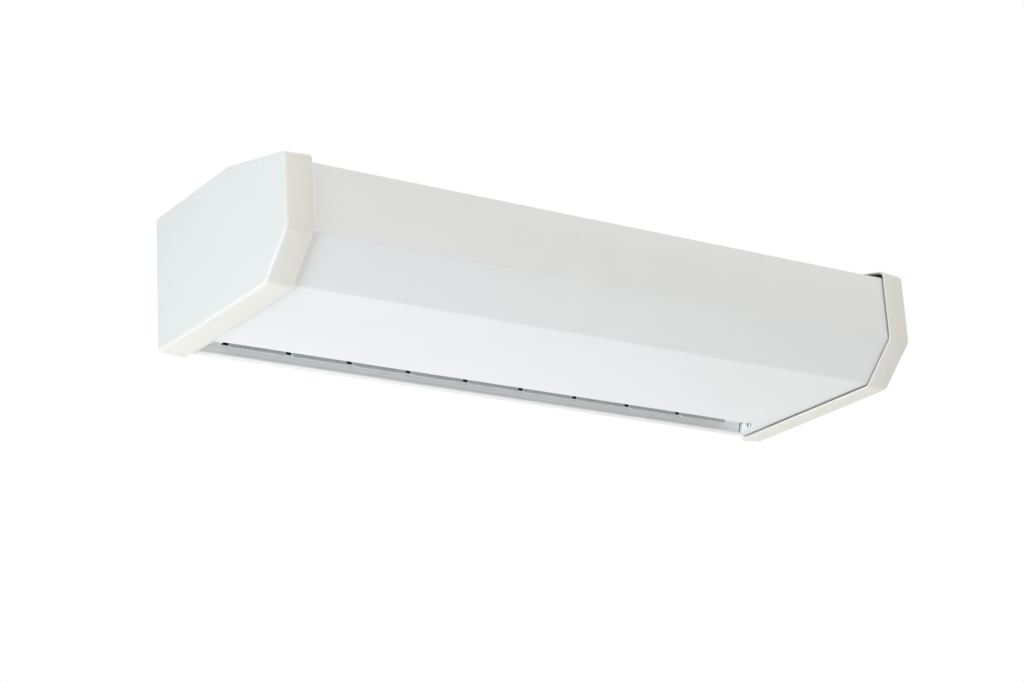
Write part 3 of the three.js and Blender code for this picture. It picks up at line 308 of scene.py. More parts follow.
def finished(obj, name, material, body, slot, *nodes):
    """Names a piece, puts its place in its mesh, gives it its material, parents it to its body and hides the
    CAD nodes it stands for.
    """
    bpy.ops.object.mode_set(mode="OBJECT")
    bpy.ops.object.select_all(action="DESELECT")
    bpy.context.view_layer.objects.active = obj
    obj.select_set(True)
    bpy.ops.object.transform_apply(location=True, rotation=True, scale=True)
    obj.name = name
    obj.data.materials.clear()
    obj.data.materials.append(material)
    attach(obj, body)
    if nodes:
        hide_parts(*nodes)


# middle surface of the sheet: half a thickness inside the outer corners
half = SHEET / 2
under_z = cover_low.z + half
front_y = cover_low.y + half
lean = math.radians(22.5)
fold_under_y = UNDER_FOLD[0] + half * math.tan(lean)
fold_front_z = FRONT_FOLD[1] + half * math.tan(lean)
rear_y = cover_high.y - half
top_z = cover_high.z - half

cover = start(bpy.ops.mesh.primitive_plane_add, size=1)
bpy.ops.transform.resize(value=(cover_high.x - cover_low.x, rear_y - fold_under_y, 1))
bpy.ops.transform.translate(value=(0, (rear_y + fold_under_y) / 2, under_z))
for x in (HEM_LEFT, HEM_RIGHT):
    split((x, 0, 0), (1, 0, 0))
pick("EDGE", lambda e: near(middle(e), y=fold_under_y) and along(e, 0))
extrude(0, front_y - fold_under_y, fold_front_z - under_z)
extrude(0, 0, top_z - fold_front_z)
pick("EDGE", lambda e: near(middle(e), z=top_z) and along(e, 0) and HEM_LEFT < middle(e).x < HEM_RIGHT)
extrude(0, HEM_STEP, 0)
extrude(0, 0, -HEM)
pick("EDGE", lambda e: near(middle(e), y=rear_y) and along(e, 0) and HEM_LEFT < middle(e).x < HEM_RIGHT)
extrude(0, 0, HEM_STEP)
extrude(0, -HEM, 0)
for y, z in ((fold_under_y, under_z), (front_y, fold_front_z)):
    pick("EDGE", lambda e, y=y, z=z: along(e, 0) and near(middle(e), y=y, z=z))
    bpy.ops.mesh.bevel(offset=FOLD_RADIUS * math.tan(lean), segments=5, affect="EDGES")
hems = ((front_y, top_z), (front_y + HEM_STEP, top_z), (rear_y, under_z), (rear_y, under_z + HEM_STEP))
pick("EDGE", lambda e: along(e, 0) and HEM_LEFT < middle(e).x < HEM_RIGHT
     and any(near(middle(e), y=y, z=z) for y, z in hems))
bpy.ops.mesh.bevel(offset=SHEET / 2, segments=4, affect="EDGES")
bpy.ops.object.mode_set(mode="OBJECT")
apply_modifier(cover, "SOLIDIFY", thickness=SHEET, offset=0, use_even_offset=True)
apply_modifier(cover, "BEVEL", width=RAW_EDGE_R, segments=2, limit_method="ANGLE", angle_limit=SHARP)
soften(cover)
finished(cover, "front_cover_sheet", powder_coat, "casing", "paint", "front_cover")

# ---------------------------------------------------------------- end caps
# Injection-moulded end pieces of a slightly creamier white: a flat side with a broad rounded edge, a
# flange that flares a little towards its rim and wraps round the cover, and ribs behind the side.
CAP_OUTLINE = ((-0.172, 0.166), (-0.300, 0.137), (-0.300, 0.0484), (-0.2505, 0.0))
CAP_TURNS = ((13.2, 0.007), (76.8, 0.008), (45.6, 0.010), (44.4, 0.010))  # degrees and radius
CAP_RIM_X = 0.416  # the open edge of the flange, from the middle of the unit
CAP_EDGE_R = 0.004
CAP_WALL = 0.0025
CAP_RIM_R = 0.0003
CAP_RIM_EXTRA = 0.002  # how much thicker the flange is at its rim
CAP_FLARE = 0.0015
CAP_RIB_X = (0.4433, 0.4480)
CAP_RIB_HALF = 0.0008  # half a rib's thickness
CAP_UPRIGHTS = (-0.060, -0.115, -0.170, -0.225)  # ribs that stand up, at their depth
CAP_LEVELS = (0.055, 0.110)  # ribs that run to the wall, at their height
CAP_LEVEL_Y = (-0.2965, -0.002)
CAP_HOOKS = ((-0.266, 0.096), (-0.196, 0.016), (-0.026, 0.140))  # depth and height of each snap hook
HOOK_HALF = 0.0045  # half a hook's width
HOOK_T = 0.0024
HOOK_WEB = (0.002, 0.0038)  # the stiffening web on a hook
HOOK_CATCH = (-0.0016, 0.0004)
HOOK_REACH, CATCH_REACH = 0.006, 0.004
HOOK_SHORT = 0.0021  # a hook's tip stops this far before the plate's outer face
PLATE_X = {-1: 0.4078, 1: 0.4064}  # outer face of the chassis end plate at each end
BOSS_R = 0.0042
BOSS_WALL = 0.0026
BOSS_BORE_DEPTH = 0.004
BOSS_PLACE = (-0.0324, 0.0101)
MOULDED_R = 0.0003
underside = -0.082
cap_depth, cap_height = 0.300, 0.166

moulded_abs = coated("cream_white_moulding", "#e6e3db", "#e3e0d7", 0.46, 0.0011, 0.00004)


def mould_cap(side):
    """One cap; side is 1 for the right end and -1 for the left."""
    low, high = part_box("end_cap_right")
    outer, rim = side * high.x, side * CAP_RIM_X
    cap = start(bpy.ops.mesh.primitive_cube_add, size=1)
    bpy.ops.transform.resize(value=(abs(outer - rim), cap_depth, cap_height))
    bpy.ops.transform.translate(value=((outer + rim) / 2, -cap_depth / 2, underside + cap_height / 2))
    (by, bz), (cy, cz), (dy, dz), (ey, ez) = CAP_OUTLINE
    for (y0, z0), (y1, z1) in (((by, bz), (cy, cz)), ((dy, dz), (ey, ez))):
        outward = Vector((0, z0 - z1, y1 - y0)).normalized()
        if outward.y > 0:
            outward.negate()
        split((0, y0, underside + z0), outward, use_fill=True, clear_outer=True)
    pick("FACE", lambda f: near(middle(f), x=rim) or near(middle(f), y=0))
    bpy.ops.mesh.delete(type="FACE")
    for (y, z), (turn, radius) in zip(CAP_OUTLINE, CAP_TURNS):
        pick("EDGE", lambda e, y=y, z=z: along(e, 0) and near(middle(e), y=y, z=underside + z))
        bpy.ops.mesh.bevel(offset=radius * math.tan(math.radians(turn / 2)), segments=8, affect="EDGES")
    pick("EDGE", lambda e: all(abs(v.co.x - outer) < 1e-6 for v in e.verts) and abs(middle(e).y) > 1e-4)
    bpy.ops.mesh.bevel(offset=CAP_EDGE_R, segments=8, affect="EDGES")
    pick("VERT", lambda v: abs(v.co.x - rim) < 1e-6)
    bpy.ops.transform.resize(
        value=(1, 1 + CAP_FLARE / cap_depth, 1 + 2 * CAP_FLARE / cap_height),
        center_override=(rim, 0, underside + cap_height / 2),
    )
    bpy.ops.mesh.select_all(action="SELECT")
    bpy.ops.mesh.normals_make_consistent(inside=False)
    bpy.ops.object.mode_set(mode="OBJECT")
    outer_corners = len(cap.data.vertices)
    apply_modifier(cap, "SOLIDIFY", thickness=CAP_WALL, offset=-1, use_even_offset=True)
    bpy.ops.object.mode_set(mode="EDIT")
    pick("VERT", lambda v: v.index >= outer_corners and abs(v.co.x - rim) < 1e-6)
    bpy.ops.transform.resize(
        value=(1, 1 - CAP_RIM_EXTRA / cap_depth, 1 - 2 * CAP_RIM_EXTRA / cap_height),
        center_override=(rim, 0, underside + cap_height / 2),
    )
    bpy.ops.object.mode_set(mode="OBJECT")
    apply_modifier(cap, "BEVEL", width=CAP_RIM_R, segments=3, limit_method="ANGLE", angle_limit=SHARP)
    return cap


def block(low, high, round_edge=0.0):
    """A block between two corners, with its edges rounded if asked."""
    part = start(bpy.ops.mesh.primitive_cube_add, size=1)
    bpy.ops.transform.resize(value=[b - a for a, b in zip(low, high)])
    bpy.ops.transform.translate(value=[(a + b) / 2 for a, b in zip(low, high)])
    bpy.ops.object.mode_set(mode="OBJECT")
    if round_edge:
        apply_modifier(part, "BEVEL", width=round_edge, segments=2)
    return part


def joined(first, *others):
    bpy.ops.object.select_all(action="DESELECT")
    for part in (first, *others):
        part.select_set(True)
    bpy.context.view_layer.objects.active = first
    bpy.ops.object.join()
    return first


def cap_top(y):
    """Height of the cap's inner top at a depth y."""
    (by, bz), (cy, cz) = CAP_OUTLINE[:2]
    fall = max(0.0, (by - y) * (bz - cz) / (by - cy))
    return underside + bz - fall - CAP_WALL


def cap_floor(y):
    """Height of the cap's inner underside at a depth y."""
    (dy, dz), (ey, ez) = CAP_OUTLINE[2:]
    rise = max(0.0, (ey - y) * (dz - ez) / (ey - dy))
    return underside + rise + CAP_WALL


def cap_inside(side):
    """Ribs, screw boss and snap hooks behind the cap's side face."""
    xs = sorted(side * x for x in CAP_RIB_X)
    plate = side * PLATE_X[side]
    foot = xs[0] if side > 0 else xs[1]  # the end of the ribs that faces the plate
    parts = []

    def bar(across, y, reach, low, high):
        parts.append(block((across[0], y - reach, low), (across[1], y + reach, high), MOULDED_R))

    for y in CAP_UPRIGHTS:
        bar(xs, y, CAP_RIB_HALF, cap_floor(y), cap_top(y))
    for z in CAP_LEVELS:
        parts.append(block((xs[0], CAP_LEVEL_Y[0], underside + z - CAP_RIB_HALF),
                           (xs[1], CAP_LEVEL_Y[1], underside + z + CAP_RIB_HALF), MOULDED_R))
    for y, z in CAP_HOOKS:
        z += underside
        tip = plate - side * HOOK_SHORT
        arm = sorted((tip - side * HOOK_REACH, foot))
        bar(arm, y, HOOK_HALF, z, z + HOOK_T)
        bar(arm, y, CAP_RIB_HALF, z + HOOK_WEB[0], z + HOOK_WEB[1])
        bar(sorted((tip, tip - side * CATCH_REACH)), y, HOOK_HALF, z + HOOK_CATCH[0], z + HOOK_CATCH[1])
    boss = start(bpy.ops.mesh.primitive_cylinder_add, vertices=32, radius=BOSS_R, depth=abs(foot - plate),
                 location=((foot + plate) / 2, BOSS_PLACE[0], underside + BOSS_PLACE[1]),
                 rotation=(0, math.pi / 2, 0))
    pick("FACE", lambda f: len(f.verts) > 4)
    bpy.ops.mesh.inset(thickness=BOSS_WALL)
    bpy.ops.transform.shrink_fatten(value=-BOSS_BORE_DEPTH)
    bpy.ops.object.mode_set(mode="OBJECT")
    return [boss, *parts]


for side, end in ((-1, "left"), (1, "right")):
    cap = joined(mould_cap(side), *cap_inside(side))
    soften(cap, 35)
    finished(cap, f"end_cap_{end}_moulding", moulded_abs, "casing", "moulding", f"end_cap_{end}")

# ---------------------------------------------------------------- intake grille
# One black moulding let into the sloping part of the casing: slots between slim bars, and a raised
# rail along each end, of which a corner shows beside the right cap.
black_moulding = coated("black_moulding", "#1a1b1c", "#141516", 0.5, 0.0012, 0.00005)
GRILLE_TILT = math.radians(12.766)
GRILLE_FRONT = (-0.2935, 0.13181)  # front upper edge of the plate
GRILLE_RUN = (-0.00031, 0.12478)  # its front and rear edges, measured up the slope
GRILLE_HALF = 0.4388
GRILLE_T = 0.002
GRILLE_RAIL = 0.019
GRILLE_RAIL_Z = (-0.0015, 0.0037)  # foot and top of a rail, from the plate's face
GRILLE_RAIL_SHORT = 0.003
BAR_R, RAIL_R, LIP_R = 0.0006, 0.0012, 0.0005
LIP = ((-0.403, -0.2938, 0.1228), (0.4016, -0.2918, 0.1313))  # the strip behind the cover's upper edge
SLOT_SIZE = (0.086, 0.009)
SLOT_PITCH = (0.094, 0.0152)
SLOT_COUNT = (8, 7)


def slot_edges(axis):
    """The two edges of each slot along one axis of the plate."""
    centre = (0, sum(GRILLE_RUN) / 2)[axis]
    for i in range(SLOT_COUNT[axis]):
        at = centre + (i - (SLOT_COUNT[axis] - 1) / 2) * SLOT_PITCH[axis]
        yield at - SLOT_SIZE[axis] / 2, at + SLOT_SIZE[axis] / 2


def in_slot(face):
    point = middle(face)
    return all(any(a < point[axis] < b for a, b in slot_edges(axis)) for axis in (0, 1))


grille = start(bpy.ops.mesh.primitive_plane_add, size=1)
bpy.ops.transform.resize(value=(2 * GRILLE_HALF, GRILLE_RUN[1] - GRILLE_RUN[0], 1))
bpy.ops.transform.translate(value=(0, sum(GRILLE_RUN) / 2, -GRILLE_T / 2))
for axis, normal in ((0, (1, 0, 0)), (1, (0, 1, 0))):
    for pair in slot_edges(axis):
        for at in pair:
            split([at * n for n in normal], normal)
pick("FACE", in_slot)
bpy.ops.mesh.delete(type="FACE")
bpy.ops.object.mode_set(mode="OBJECT")
apply_modifier(grille, "SOLIDIFY", thickness=GRILLE_T, offset=0)
apply_modifier(grille, "BEVEL", width=BAR_R, segments=2, limit_method="ANGLE", angle_limit=SHARP)
rails = [block((x, GRILLE_RUN[0], GRILLE_RAIL_Z[0]),
               (x + GRILLE_RAIL, GRILLE_RUN[1] - GRILLE_RAIL_SHORT, GRILLE_RAIL_Z[1]), RAIL_R)
         for x in (-GRILLE_HALF, GRILLE_HALF - GRILLE_RAIL)]
grille = joined(grille, *rails)
grille.rotation_euler.x = GRILLE_TILT
grille.location = (0, GRILLE_FRONT[0], underside + GRILLE_FRONT[1])
lip = block(*((x, y, underside + z) for x, y, z in LIP), LIP_R)
grille = joined(grille, lip)
soften(grille)
finished(grille, "intake_grille_moulding", black_moulding, "casing", "black_plastic", "intake_grille")

# ---------------------------------------------------------------- galvanised sheet: blower and brackets
# Zinc-coated steel, left bare. The zinc sets in flat crystals a few millimetres across, so the sheet
# is a quiet grey with slightly lighter and darker flakes.
SPANGLE = 0.006
SPANGLE_GLOSS = (0.42, 0.54)
spangled_zinc, tree = new_material("galvanised_sheet")
place = add_node(tree, "ShaderNodeTexCoord").outputs["Object"]
flakes = add_node(tree, "ShaderNodeTexVoronoi", {"Vector": place, "Scale": 1 / SPANGLE})
shade = add_node(tree, "ShaderNodeSeparateColor", {0: flakes.outputs["Color"]})
tint = add_node(tree, "ShaderNodeMix", {0: shade.outputs[0], 6: linear("#dde1e0"), 7: linear("#d2d6d5")},
                data_type="RGBA")
gloss = add_node(tree, "ShaderNodeMapRange", {0: shade.outputs[1], 3: SPANGLE_GLOSS[0], 4: SPANGLE_GLOSS[1]})
shader = add_node(tree, "ShaderNodeBsdfPrincipled",
                  {"Base Color": tint.outputs[2], "Roughness": gloss.outputs[0], "Metallic": 0.1})
add_node(tree, "ShaderNodeOutputMaterial", {"Surface": shader.outputs[0]})
dress(spangled_zinc, "blower_tongue", "blower_end_left", "blower_end_right", "capacitor_clip")

AXIS = (0, -0.088, 0.016)  # a point on the rotor's axis
SCROLL_SHEET = 0.001
SPIRAL_R = 0.0545  # middle of the sheet at the start of the spiral
SPIRAL_START = 100
SPIRAL_GROWTH = 0.19
SPIRAL_STEPS = 36
SCROLL_TAIL = ((-0.0127, 0.0399), (-0.0245, 0.0209), (-0.0245, 0.0104), (-0.02345, 0.00935))
TAB_COUNT = 9
TAB_CORNER = 0.005
TAB_NOTCH = 0.0035  # half its width
TAB_LOW, TAB_TOP = 0.009, 0.018
TAB_Y = (-0.028, -0.022)
TAB_FOLD = 0.0006
NOTCH_OVERRUN = 0.002  # how far a notch's cutter reaches below the tabs
ALONG_X = (0, math.pi / 2, 0)
ALONG_Y = (math.pi / 2, 0, 0)


def traced(points):
    """A chain of edges through the points, left open for editing."""
    part = start(bpy.ops.mesh.primitive_plane_add, size=1)
    bpy.ops.mesh.select_mode(type="VERT")
    bpy.ops.mesh.merge(type="CENTER")
    bpy.ops.transform.translate(value=points[0])
    for before, after in zip(points, points[1:]):
        step = [b - a for a, b in zip(before, after)]
        bpy.ops.mesh.extrude_vertices_move(TRANSFORM_OT_translate={"value": step})
    bpy.ops.mesh.select_mode(type="EDGE")
    bpy.ops.mesh.select_all(action="SELECT")
    return part


def cut_away(part, *cutters):
    for cutter in cutters:
        apply_modifier(part, "BOOLEAN", operation="DIFFERENCE", object=cutter, solver="EXACT")
        bpy.data.objects.remove(cutter)


def drill(part, radius, length, turn, places):
    """Round holes through a piece, each centred on its place."""
    for place in places:
        bpy.ops.object.select_all(action="DESELECT")
        bpy.ops.mesh.primitive_cylinder_add(vertices=24, radius=radius, depth=length,
                                            location=place, rotation=turn)
        cut_away(part, bpy.context.object)


def arc(centre, radius, first, last, steps):
    """Points on an arc, with its angles in degrees."""
    for i in range(steps + 1):
        turn = math.radians(first + (last - first) * i / steps)
        yield centre[0] + radius * math.cos(turn), centre[1] + radius * math.sin(turn)


def scroll_path():
    """Middle of the scroll's sheet as y and z: lip, spiral, rear wall and tab."""
    spiral = []
    for i in range(SPIRAL_STEPS + 1):
        turned = math.radians(SPIRAL_START * i / SPIRAL_STEPS)
        radius = SPIRAL_R * math.exp(SPIRAL_GROWTH * turned)
        turn = math.radians(SPIRAL_START) - turned
        spiral.append((AXIS[1] + radius * math.cos(turn), AXIS[2] + radius * math.sin(turn)))
    lip = (spiral[0][0] - 0.003, spiral[0][1] + 0.004)
    return [lip, *spiral, *((y, underside + z) for y, z in SCROLL_TAIL)]


def notch_cutter(x):
    """What is cut out between two tabs, whose lower corners it leaves round."""
    low, top = underside + TAB_LOW, underside + TAB_TOP
    reach = TAB_NOTCH + TAB_CORNER
    left = list(arc((x - reach, low + TAB_CORNER), TAB_CORNER, 0, -90, 6))
    right = list(arc((x + reach, low + TAB_CORNER), TAB_CORNER, 270, 180, 6))
    below = low - NOTCH_OVERRUN
    outline = [(x - TAB_NOTCH, top), *left, (x - reach, below),
               (x + reach, below), *right, (x + TAB_NOTCH, top)]
    cutter = traced([(a, TAB_Y[0], b) for a, b in outline + outline[:1]])
    bpy.ops.mesh.remove_doubles(threshold=1e-6)
    bpy.ops.mesh.edge_face_add()
    bpy.ops.mesh.select_mode(type="FACE")
    extrude(0, TAB_Y[1] - TAB_Y[0], 0)
    bpy.ops.mesh.select_all(action="SELECT")
    bpy.ops.mesh.normals_make_consistent(inside=False)
    bpy.ops.object.mode_set(mode="OBJECT")
    return cutter


scroll_low, scroll_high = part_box("blower_scroll")
scroll_x0, scroll_x1 = scroll_low.x, scroll_high.x
scroll = traced([(scroll_x0, y, z) for y, z in scroll_path()])
extrude(scroll_x1 - scroll_x0, 0, 0)
fold_z = [underside + z for _, z in SCROLL_TAIL[:3]]
pick("EDGE", lambda e: along(e, 0) and any(near(middle(e), z=z) for z in fold_z))
bpy.ops.mesh.bevel(offset=TAB_FOLD, segments=3, affect="EDGES")
bpy.ops.object.mode_set(mode="OBJECT")
apply_modifier(scroll, "SOLIDIFY", thickness=SCROLL_SHEET, offset=0, use_even_offset=True)
tab_pitch = (scroll_x1 - scroll_x0) / TAB_COUNT
cut_away(scroll, *(notch_cutter(scroll_x0 + i * tab_pitch) for i in range(TAB_COUNT + 1)))
soften(scroll, 30)
finished(scroll, "blower_scroll_sheet", spangled_zinc, "casing", "galvanised", "blower_scroll")

BRACKET_T = 0.002
BRACKET_PATH = ((-0.001, 0.099), (-0.001, 0.1382), (-0.0025, 0.1412), (-0.0025, 0.156))
BRACKET_CORNER = 0.004
BRACKET_FOLD = 0.0012
BRACKET_HOLE_R = 0.003
BRACKET_HOLE = (0.018, 0.117)  # from the bracket's middle, and its height
for end in ("left", "right"):
    low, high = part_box(f"wall_bracket_{end}")
    x = (low.x + high.x) / 2
    bracket = traced([(low.x, y, underside + z) for y, z in BRACKET_PATH])
    extrude(high.x - low.x, 0, 0)
    heights = [underside + z for _, z in BRACKET_PATH]
    pick("VERT", lambda v: any(near(v.co, z=heights[i]) for i in (0, 3)))
    bpy.ops.mesh.bevel(offset=BRACKET_CORNER, segments=6, affect="VERTICES")
    pick("EDGE", lambda e: along(e, 0) and any(near(middle(e), z=z) for z in heights[1:3]))
    bpy.ops.mesh.bevel(offset=BRACKET_FOLD, segments=4, affect="EDGES")
    bpy.ops.object.mode_set(mode="OBJECT")
    apply_modifier(bracket, "SOLIDIFY", thickness=BRACKET_T, offset=0, use_even_offset=True)
    drill(bracket, BRACKET_HOLE_R, 0.01, ALONG_Y,
          [(x + side * BRACKET_HOLE[0], BRACKET_PATH[0][0], underside + BRACKET_HOLE[1]) for side in (-1, 1)])
    soften(bracket)
    name = f"wall_bracket_{end}"
    finished(bracket, f"{name}_plate", spangled_zinc, "casing", "galvanised", name)

# ---------------------------------------------------------------- blower rotor and its shafts
# A cross-flow rotor, nine segments long: thin curved aluminium blades set in aluminium discs. A
# steel stub shaft carries its left end, and the motor's shaft drives its right end.
METAL_SWING = 0.06  # how far the roughness strays to each side along the grain


def bare_metal(name, pale, deep, roughness, grain, drawn_out=(0.08, 1, 1)):
    """Metal with a fine grain drawn out along X, as rolling leaves it, or another way."""
    material, tree = new_material(name)
    place = add_node(tree, "ShaderNodeTexCoord").outputs["Object"]
    drawn = add_node(tree, "ShaderNodeMapping", {"Vector": place, "Scale": drawn_out})
    lines = add_node(tree, "ShaderNodeTexNoise",
                     {"Vector": drawn.outputs[0], "Scale": 1 / grain, "Detail": 3.0})
    tint = add_node(tree, "ShaderNodeMix", {0: lines.outputs[0], 6: linear(pale), 7: linear(deep)},
                    data_type="RGBA")
    gloss = add_node(tree, "ShaderNodeMapRange",
                     {0: lines.outputs[0], 3: roughness - METAL_SWING, 4: roughness + METAL_SWING})
    shader = add_node(tree, "ShaderNodeBsdfPrincipled",
                      {"Base Color": tint.outputs[2], "Roughness": gloss.outputs[0], "Metallic": 1.0})
    add_node(tree, "ShaderNodeOutputMaterial", {"Surface": shader.outputs[0]})
    return material


def lathe(profile, steps=48):
    """A closed profile of (x, radius) points turned about the X axis."""
    part = traced([(x, 0, r) for x, r in profile + profile[:1]])
    bpy.ops.mesh.spin(steps=steps, angle=2 * math.pi, center=(0, 0, 0), axis=(1, 0, 0))
    bpy.ops.mesh.select_all(action="SELECT")
    bpy.ops.mesh.remove_doubles(threshold=2e-6)
    bpy.ops.mesh.normals_make_consistent(inside=False)
    bpy.ops.object.mode_set(mode="OBJECT")
    return part


def turned_from(place, profile, steps=48, sign=1):
    """A turned piece whose profile is measured along X from a place, or back from it."""
    return lathe([(place + sign * x, r) for x, r in profile], steps)


ROTOR_R = 0.050
BLADE_T = 0.0006
BLADE_RIM = 0.0492
BLADE_ROOT = 0.038
BLADE_COUNT = 28
BLADE_SWEEP = math.radians(13)
BLADE_STEPS = 6
DISC_T = 0.0012
DISC_BORE = 0.033
SEGMENT_COUNT = 9
BORE_R = 0.0043
COLLAR = 0.0203
MIDDLE_DISC = ((0, DISC_BORE), (0, ROTOR_R), (DISC_T, ROTOR_R), (DISC_T, DISC_BORE))
BEARING_DISC = ((0, BORE_R), (0, ROTOR_R), (DISC_T, ROTOR_R), (DISC_T, 0.012), (0.003, 0.009),
                (0.018, 0.009), (0.018, BORE_R))
MOTOR_DISC = ((0, COLLAR), (0, ROTOR_R), (DISC_T, ROTOR_R), (DISC_T, 0.0245), (0.0025, 0.0228),
              (0.007, 0.0228), (0.007, COLLAR))

mill_aluminium = bare_metal("mill_aluminium", "#d3d5d6", "#bfc2c4", 0.38, 0.0012)
ground_steel = bare_metal("ground_steel", "#a9acae", "#94979a", 0.28, 0.0008, (1, 0.1, 0.1))

rotor_low, rotor_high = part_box("rotor")
left, right = rotor_low.x, rotor_high.x


def blade_point(step):
    """A point on the blade's section, which curves forward towards the rim: y, z about the axis."""
    share = step / BLADE_STEPS
    radius = BLADE_ROOT + (BLADE_RIM - BLADE_ROOT) * share
    turn = BLADE_SWEEP * share ** 2
    return radius * math.cos(turn), radius * math.sin(turn)


blades = traced([(left + DISC_T / 2, *blade_point(step)) for step in range(BLADE_STEPS + 1)])
extrude(right - left - DISC_T, 0, 0)
bpy.ops.object.mode_set(mode="OBJECT")
apply_modifier(blades, "SOLIDIFY", thickness=BLADE_T, offset=0)
bpy.ops.object.mode_set(mode="EDIT")
bpy.ops.mesh.select_all(action="SELECT")
bpy.ops.mesh.spin(steps=BLADE_COUNT - 1, angle=2 * math.pi * (1 - 1 / BLADE_COUNT), dupli=True,
                  center=(0, 0, 0), axis=(1, 0, 0))
bpy.ops.object.mode_set(mode="OBJECT")

segment = (right - left - DISC_T) / SEGMENT_COUNT
discs = [turned_from(left + i * segment, MIDDLE_DISC) for i in range(1, SEGMENT_COUNT)]
bearing_disc = turned_from(left, BEARING_DISC)
motor_disc = turned_from(right, MOTOR_DISC, sign=-1)
rotor = joined(blades, bearing_disc, motor_disc, *discs)
rotor.location = AXIS
soften(rotor)
finished(rotor, "rotor_bladed", mill_aluminium, "rotor", "rotor_aluminium", "rotor")

SHAFT_R = 0.004
SHAFT_CHAMFER = 0.0006
GROOVE = (0.0045, 0.0011)  # a snap ring's groove: its place from the end, and its width
GROOVE_R = SHAFT_R - 0.0004
for name in ("rotor_stub_shaft", "motor_shaft"):
    low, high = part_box(name)
    outer, inner = (low.x, high.x) if name == "rotor_stub_shaft" else (high.x, low.x)
    sign = 1 if inner > outer else -1
    groove = [outer + sign * (GROOVE[0] + step * GROOVE[1]) for step in (0, 1)]
    shaft = lathe([(outer, 0), (outer, SHAFT_R - SHAFT_CHAMFER), (outer + sign * SHAFT_CHAMFER, SHAFT_R),
                   (groove[0], SHAFT_R), (groove[0], GROOVE_R), (groove[1], GROOVE_R),
                   (groove[1], SHAFT_R), (inner - sign * SHAFT_CHAMFER, SHAFT_R),
                   (inner, SHAFT_R - SHAFT_CHAMFER), (inner, 0)])
    shaft.location = AXIS
    soften(shaft)
    finished(shaft, f"{name}_turned", ground_steel, "rotor", "shaft_steel", name)

# ---------------------------------------------------------------- rubber: coupling, ring, mounts, grommet
# Moulded black rubber, matt and slightly dusty. The ring lets the bush find its own line, the mounts
# keep the motor's hum from the casing, and the coupling carries the turn from the shaft to the rotor.
black_rubber = coated("black_rubber", "#232425", "#1b1c1d", 0.8, 0.0015, 0.00008, 0.02)

RING_BORE_R, RING_SIDE_R, RING_R, RING_WAIST_R = 0.0083, 0.0131, 0.0135, 0.0132
RING_EDGE = 0.0004
low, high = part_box("bearing_ring")
ring = lathe([(low.x, RING_BORE_R), (low.x, RING_SIDE_R), (low.x + RING_EDGE, RING_R),
              ((low.x + high.x) / 2, RING_WAIST_R), (high.x - RING_EDGE, RING_R), (high.x, RING_SIDE_R),
              (high.x, RING_BORE_R)])
ring.location = AXIS
soften(ring)
finished(ring, "bearing_ring_cushion", black_rubber, "casing", "rubber", "bearing_ring")

MOUNT_PROFILE = ((0, 0.0023), (0, 0.0066), (0.0004, 0.007), (0.0016, 0.007), (0.002, 0.0065),
                 (0.0026, 0.0056), (0.0030, 0.0054), (0.0034, 0.0056), (0.0040, 0.0065),
                 (0.0044, 0.007), (0.0056, 0.007), (0.006, 0.0066), (0.006, 0.0023))
for name in ("motor_mount_1", "motor_mount_2", "motor_mount_3"):
    low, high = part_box(name)
    mount = turned_from(low.x, MOUNT_PROFILE, 32)
    mount.location = (0, (low.y + high.y) / 2, (low.z + high.z) / 2)
    soften(mount)
    finished(mount, f"{name}_bobbin", black_rubber, "casing", "rubber", name)

COUPLING_PROFILE = ((-0.017, BORE_R), (-0.017, 0.009), (-0.010, 0.0114), (-0.009, 0.0125), (-0.009, 0.020),
                    (0.0003, 0.020), (0.0016, 0.017), (0.0016, BORE_R))
coupling = turned_from(right, COUPLING_PROFILE)
coupling.location = AXIS
soften(coupling)
finished(coupling, "rotor_coupling_hub", black_rubber, "rotor", "rubber", "rotor_coupling")

GROMMET_LIP = 0.013
GROMMET_NECK = 0.0097
GROMMET_DOME = ((0.0003, GROMMET_LIP), (0.0010, 0.0127), (0.0018, 0.0119), (0.0024, 0.0108), (0.0022, 0.0080),
                (0.0016, 0.0050), (0.0016, 0.0), (0.0008, 0.0), (0.0008, 0.006))
GROMMET_SEAT = 0.0003  # between the grommet and each face of the sheet
GROMMET_EDGE = 0.0006
TOP_SHEET = 0.1625  # outer face of the top sheet, above the underside
grommet_low, grommet_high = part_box("cable_grommet")
top = underside + TOP_SHEET
low_lip = top - SHEET - 0.003
grommet = lathe([(low_lip, 0.006), (low_lip, GROMMET_LIP - GROMMET_EDGE), (low_lip + GROMMET_EDGE, GROMMET_LIP),
                 (top - SHEET - GROMMET_SEAT, GROMMET_LIP), (top - SHEET - GROMMET_SEAT, GROMMET_NECK),
                 (top + GROMMET_SEAT, GROMMET_NECK), *((top + z, r) for z, r in GROMMET_DOME)])
grommet.rotation_euler.y = -math.pi / 2
grommet.location = ((grommet_low.x + grommet_high.x) / 2, (grommet_low.y + grommet_high.y) / 2, 0)
soften(grommet)
finished(grommet, "cable_grommet_moulding", black_rubber, "casing", "rubber", "cable_grommet")

# ---------------------------------------------------------------- motor, bearing and electrics
# Die-cast bells round a varnished lamination stack, hung on three rubber mounts, and a sintered
# bronze bush in a moulded holder. The electrical pieces stand on the right end plate.
MOTOR_R = 0.045
BELL_CORNER_R = 0.008
BELL_NOSE = 0.004  # how far the boss round the shaft stands out in front of the lugs
BELL_NOSE_R = (0.0105, 0.011, 0.0135)
BELL_HOLLOW = 0.012  # depth of the bearing's bore
VENT_R = 0.005
VENT_RING = (0.025, 0.026)  # radius of the ring of vents in the front and rear bell
MOTOR_TURNS = (90, 210, 330)  # the three fixing lugs round the axis
LUG_T = 0.0035
LUG_R = 0.007
LUG_HALF = 0.006
LUG_RING = 0.052
LUG_BORE_R = 0.0023


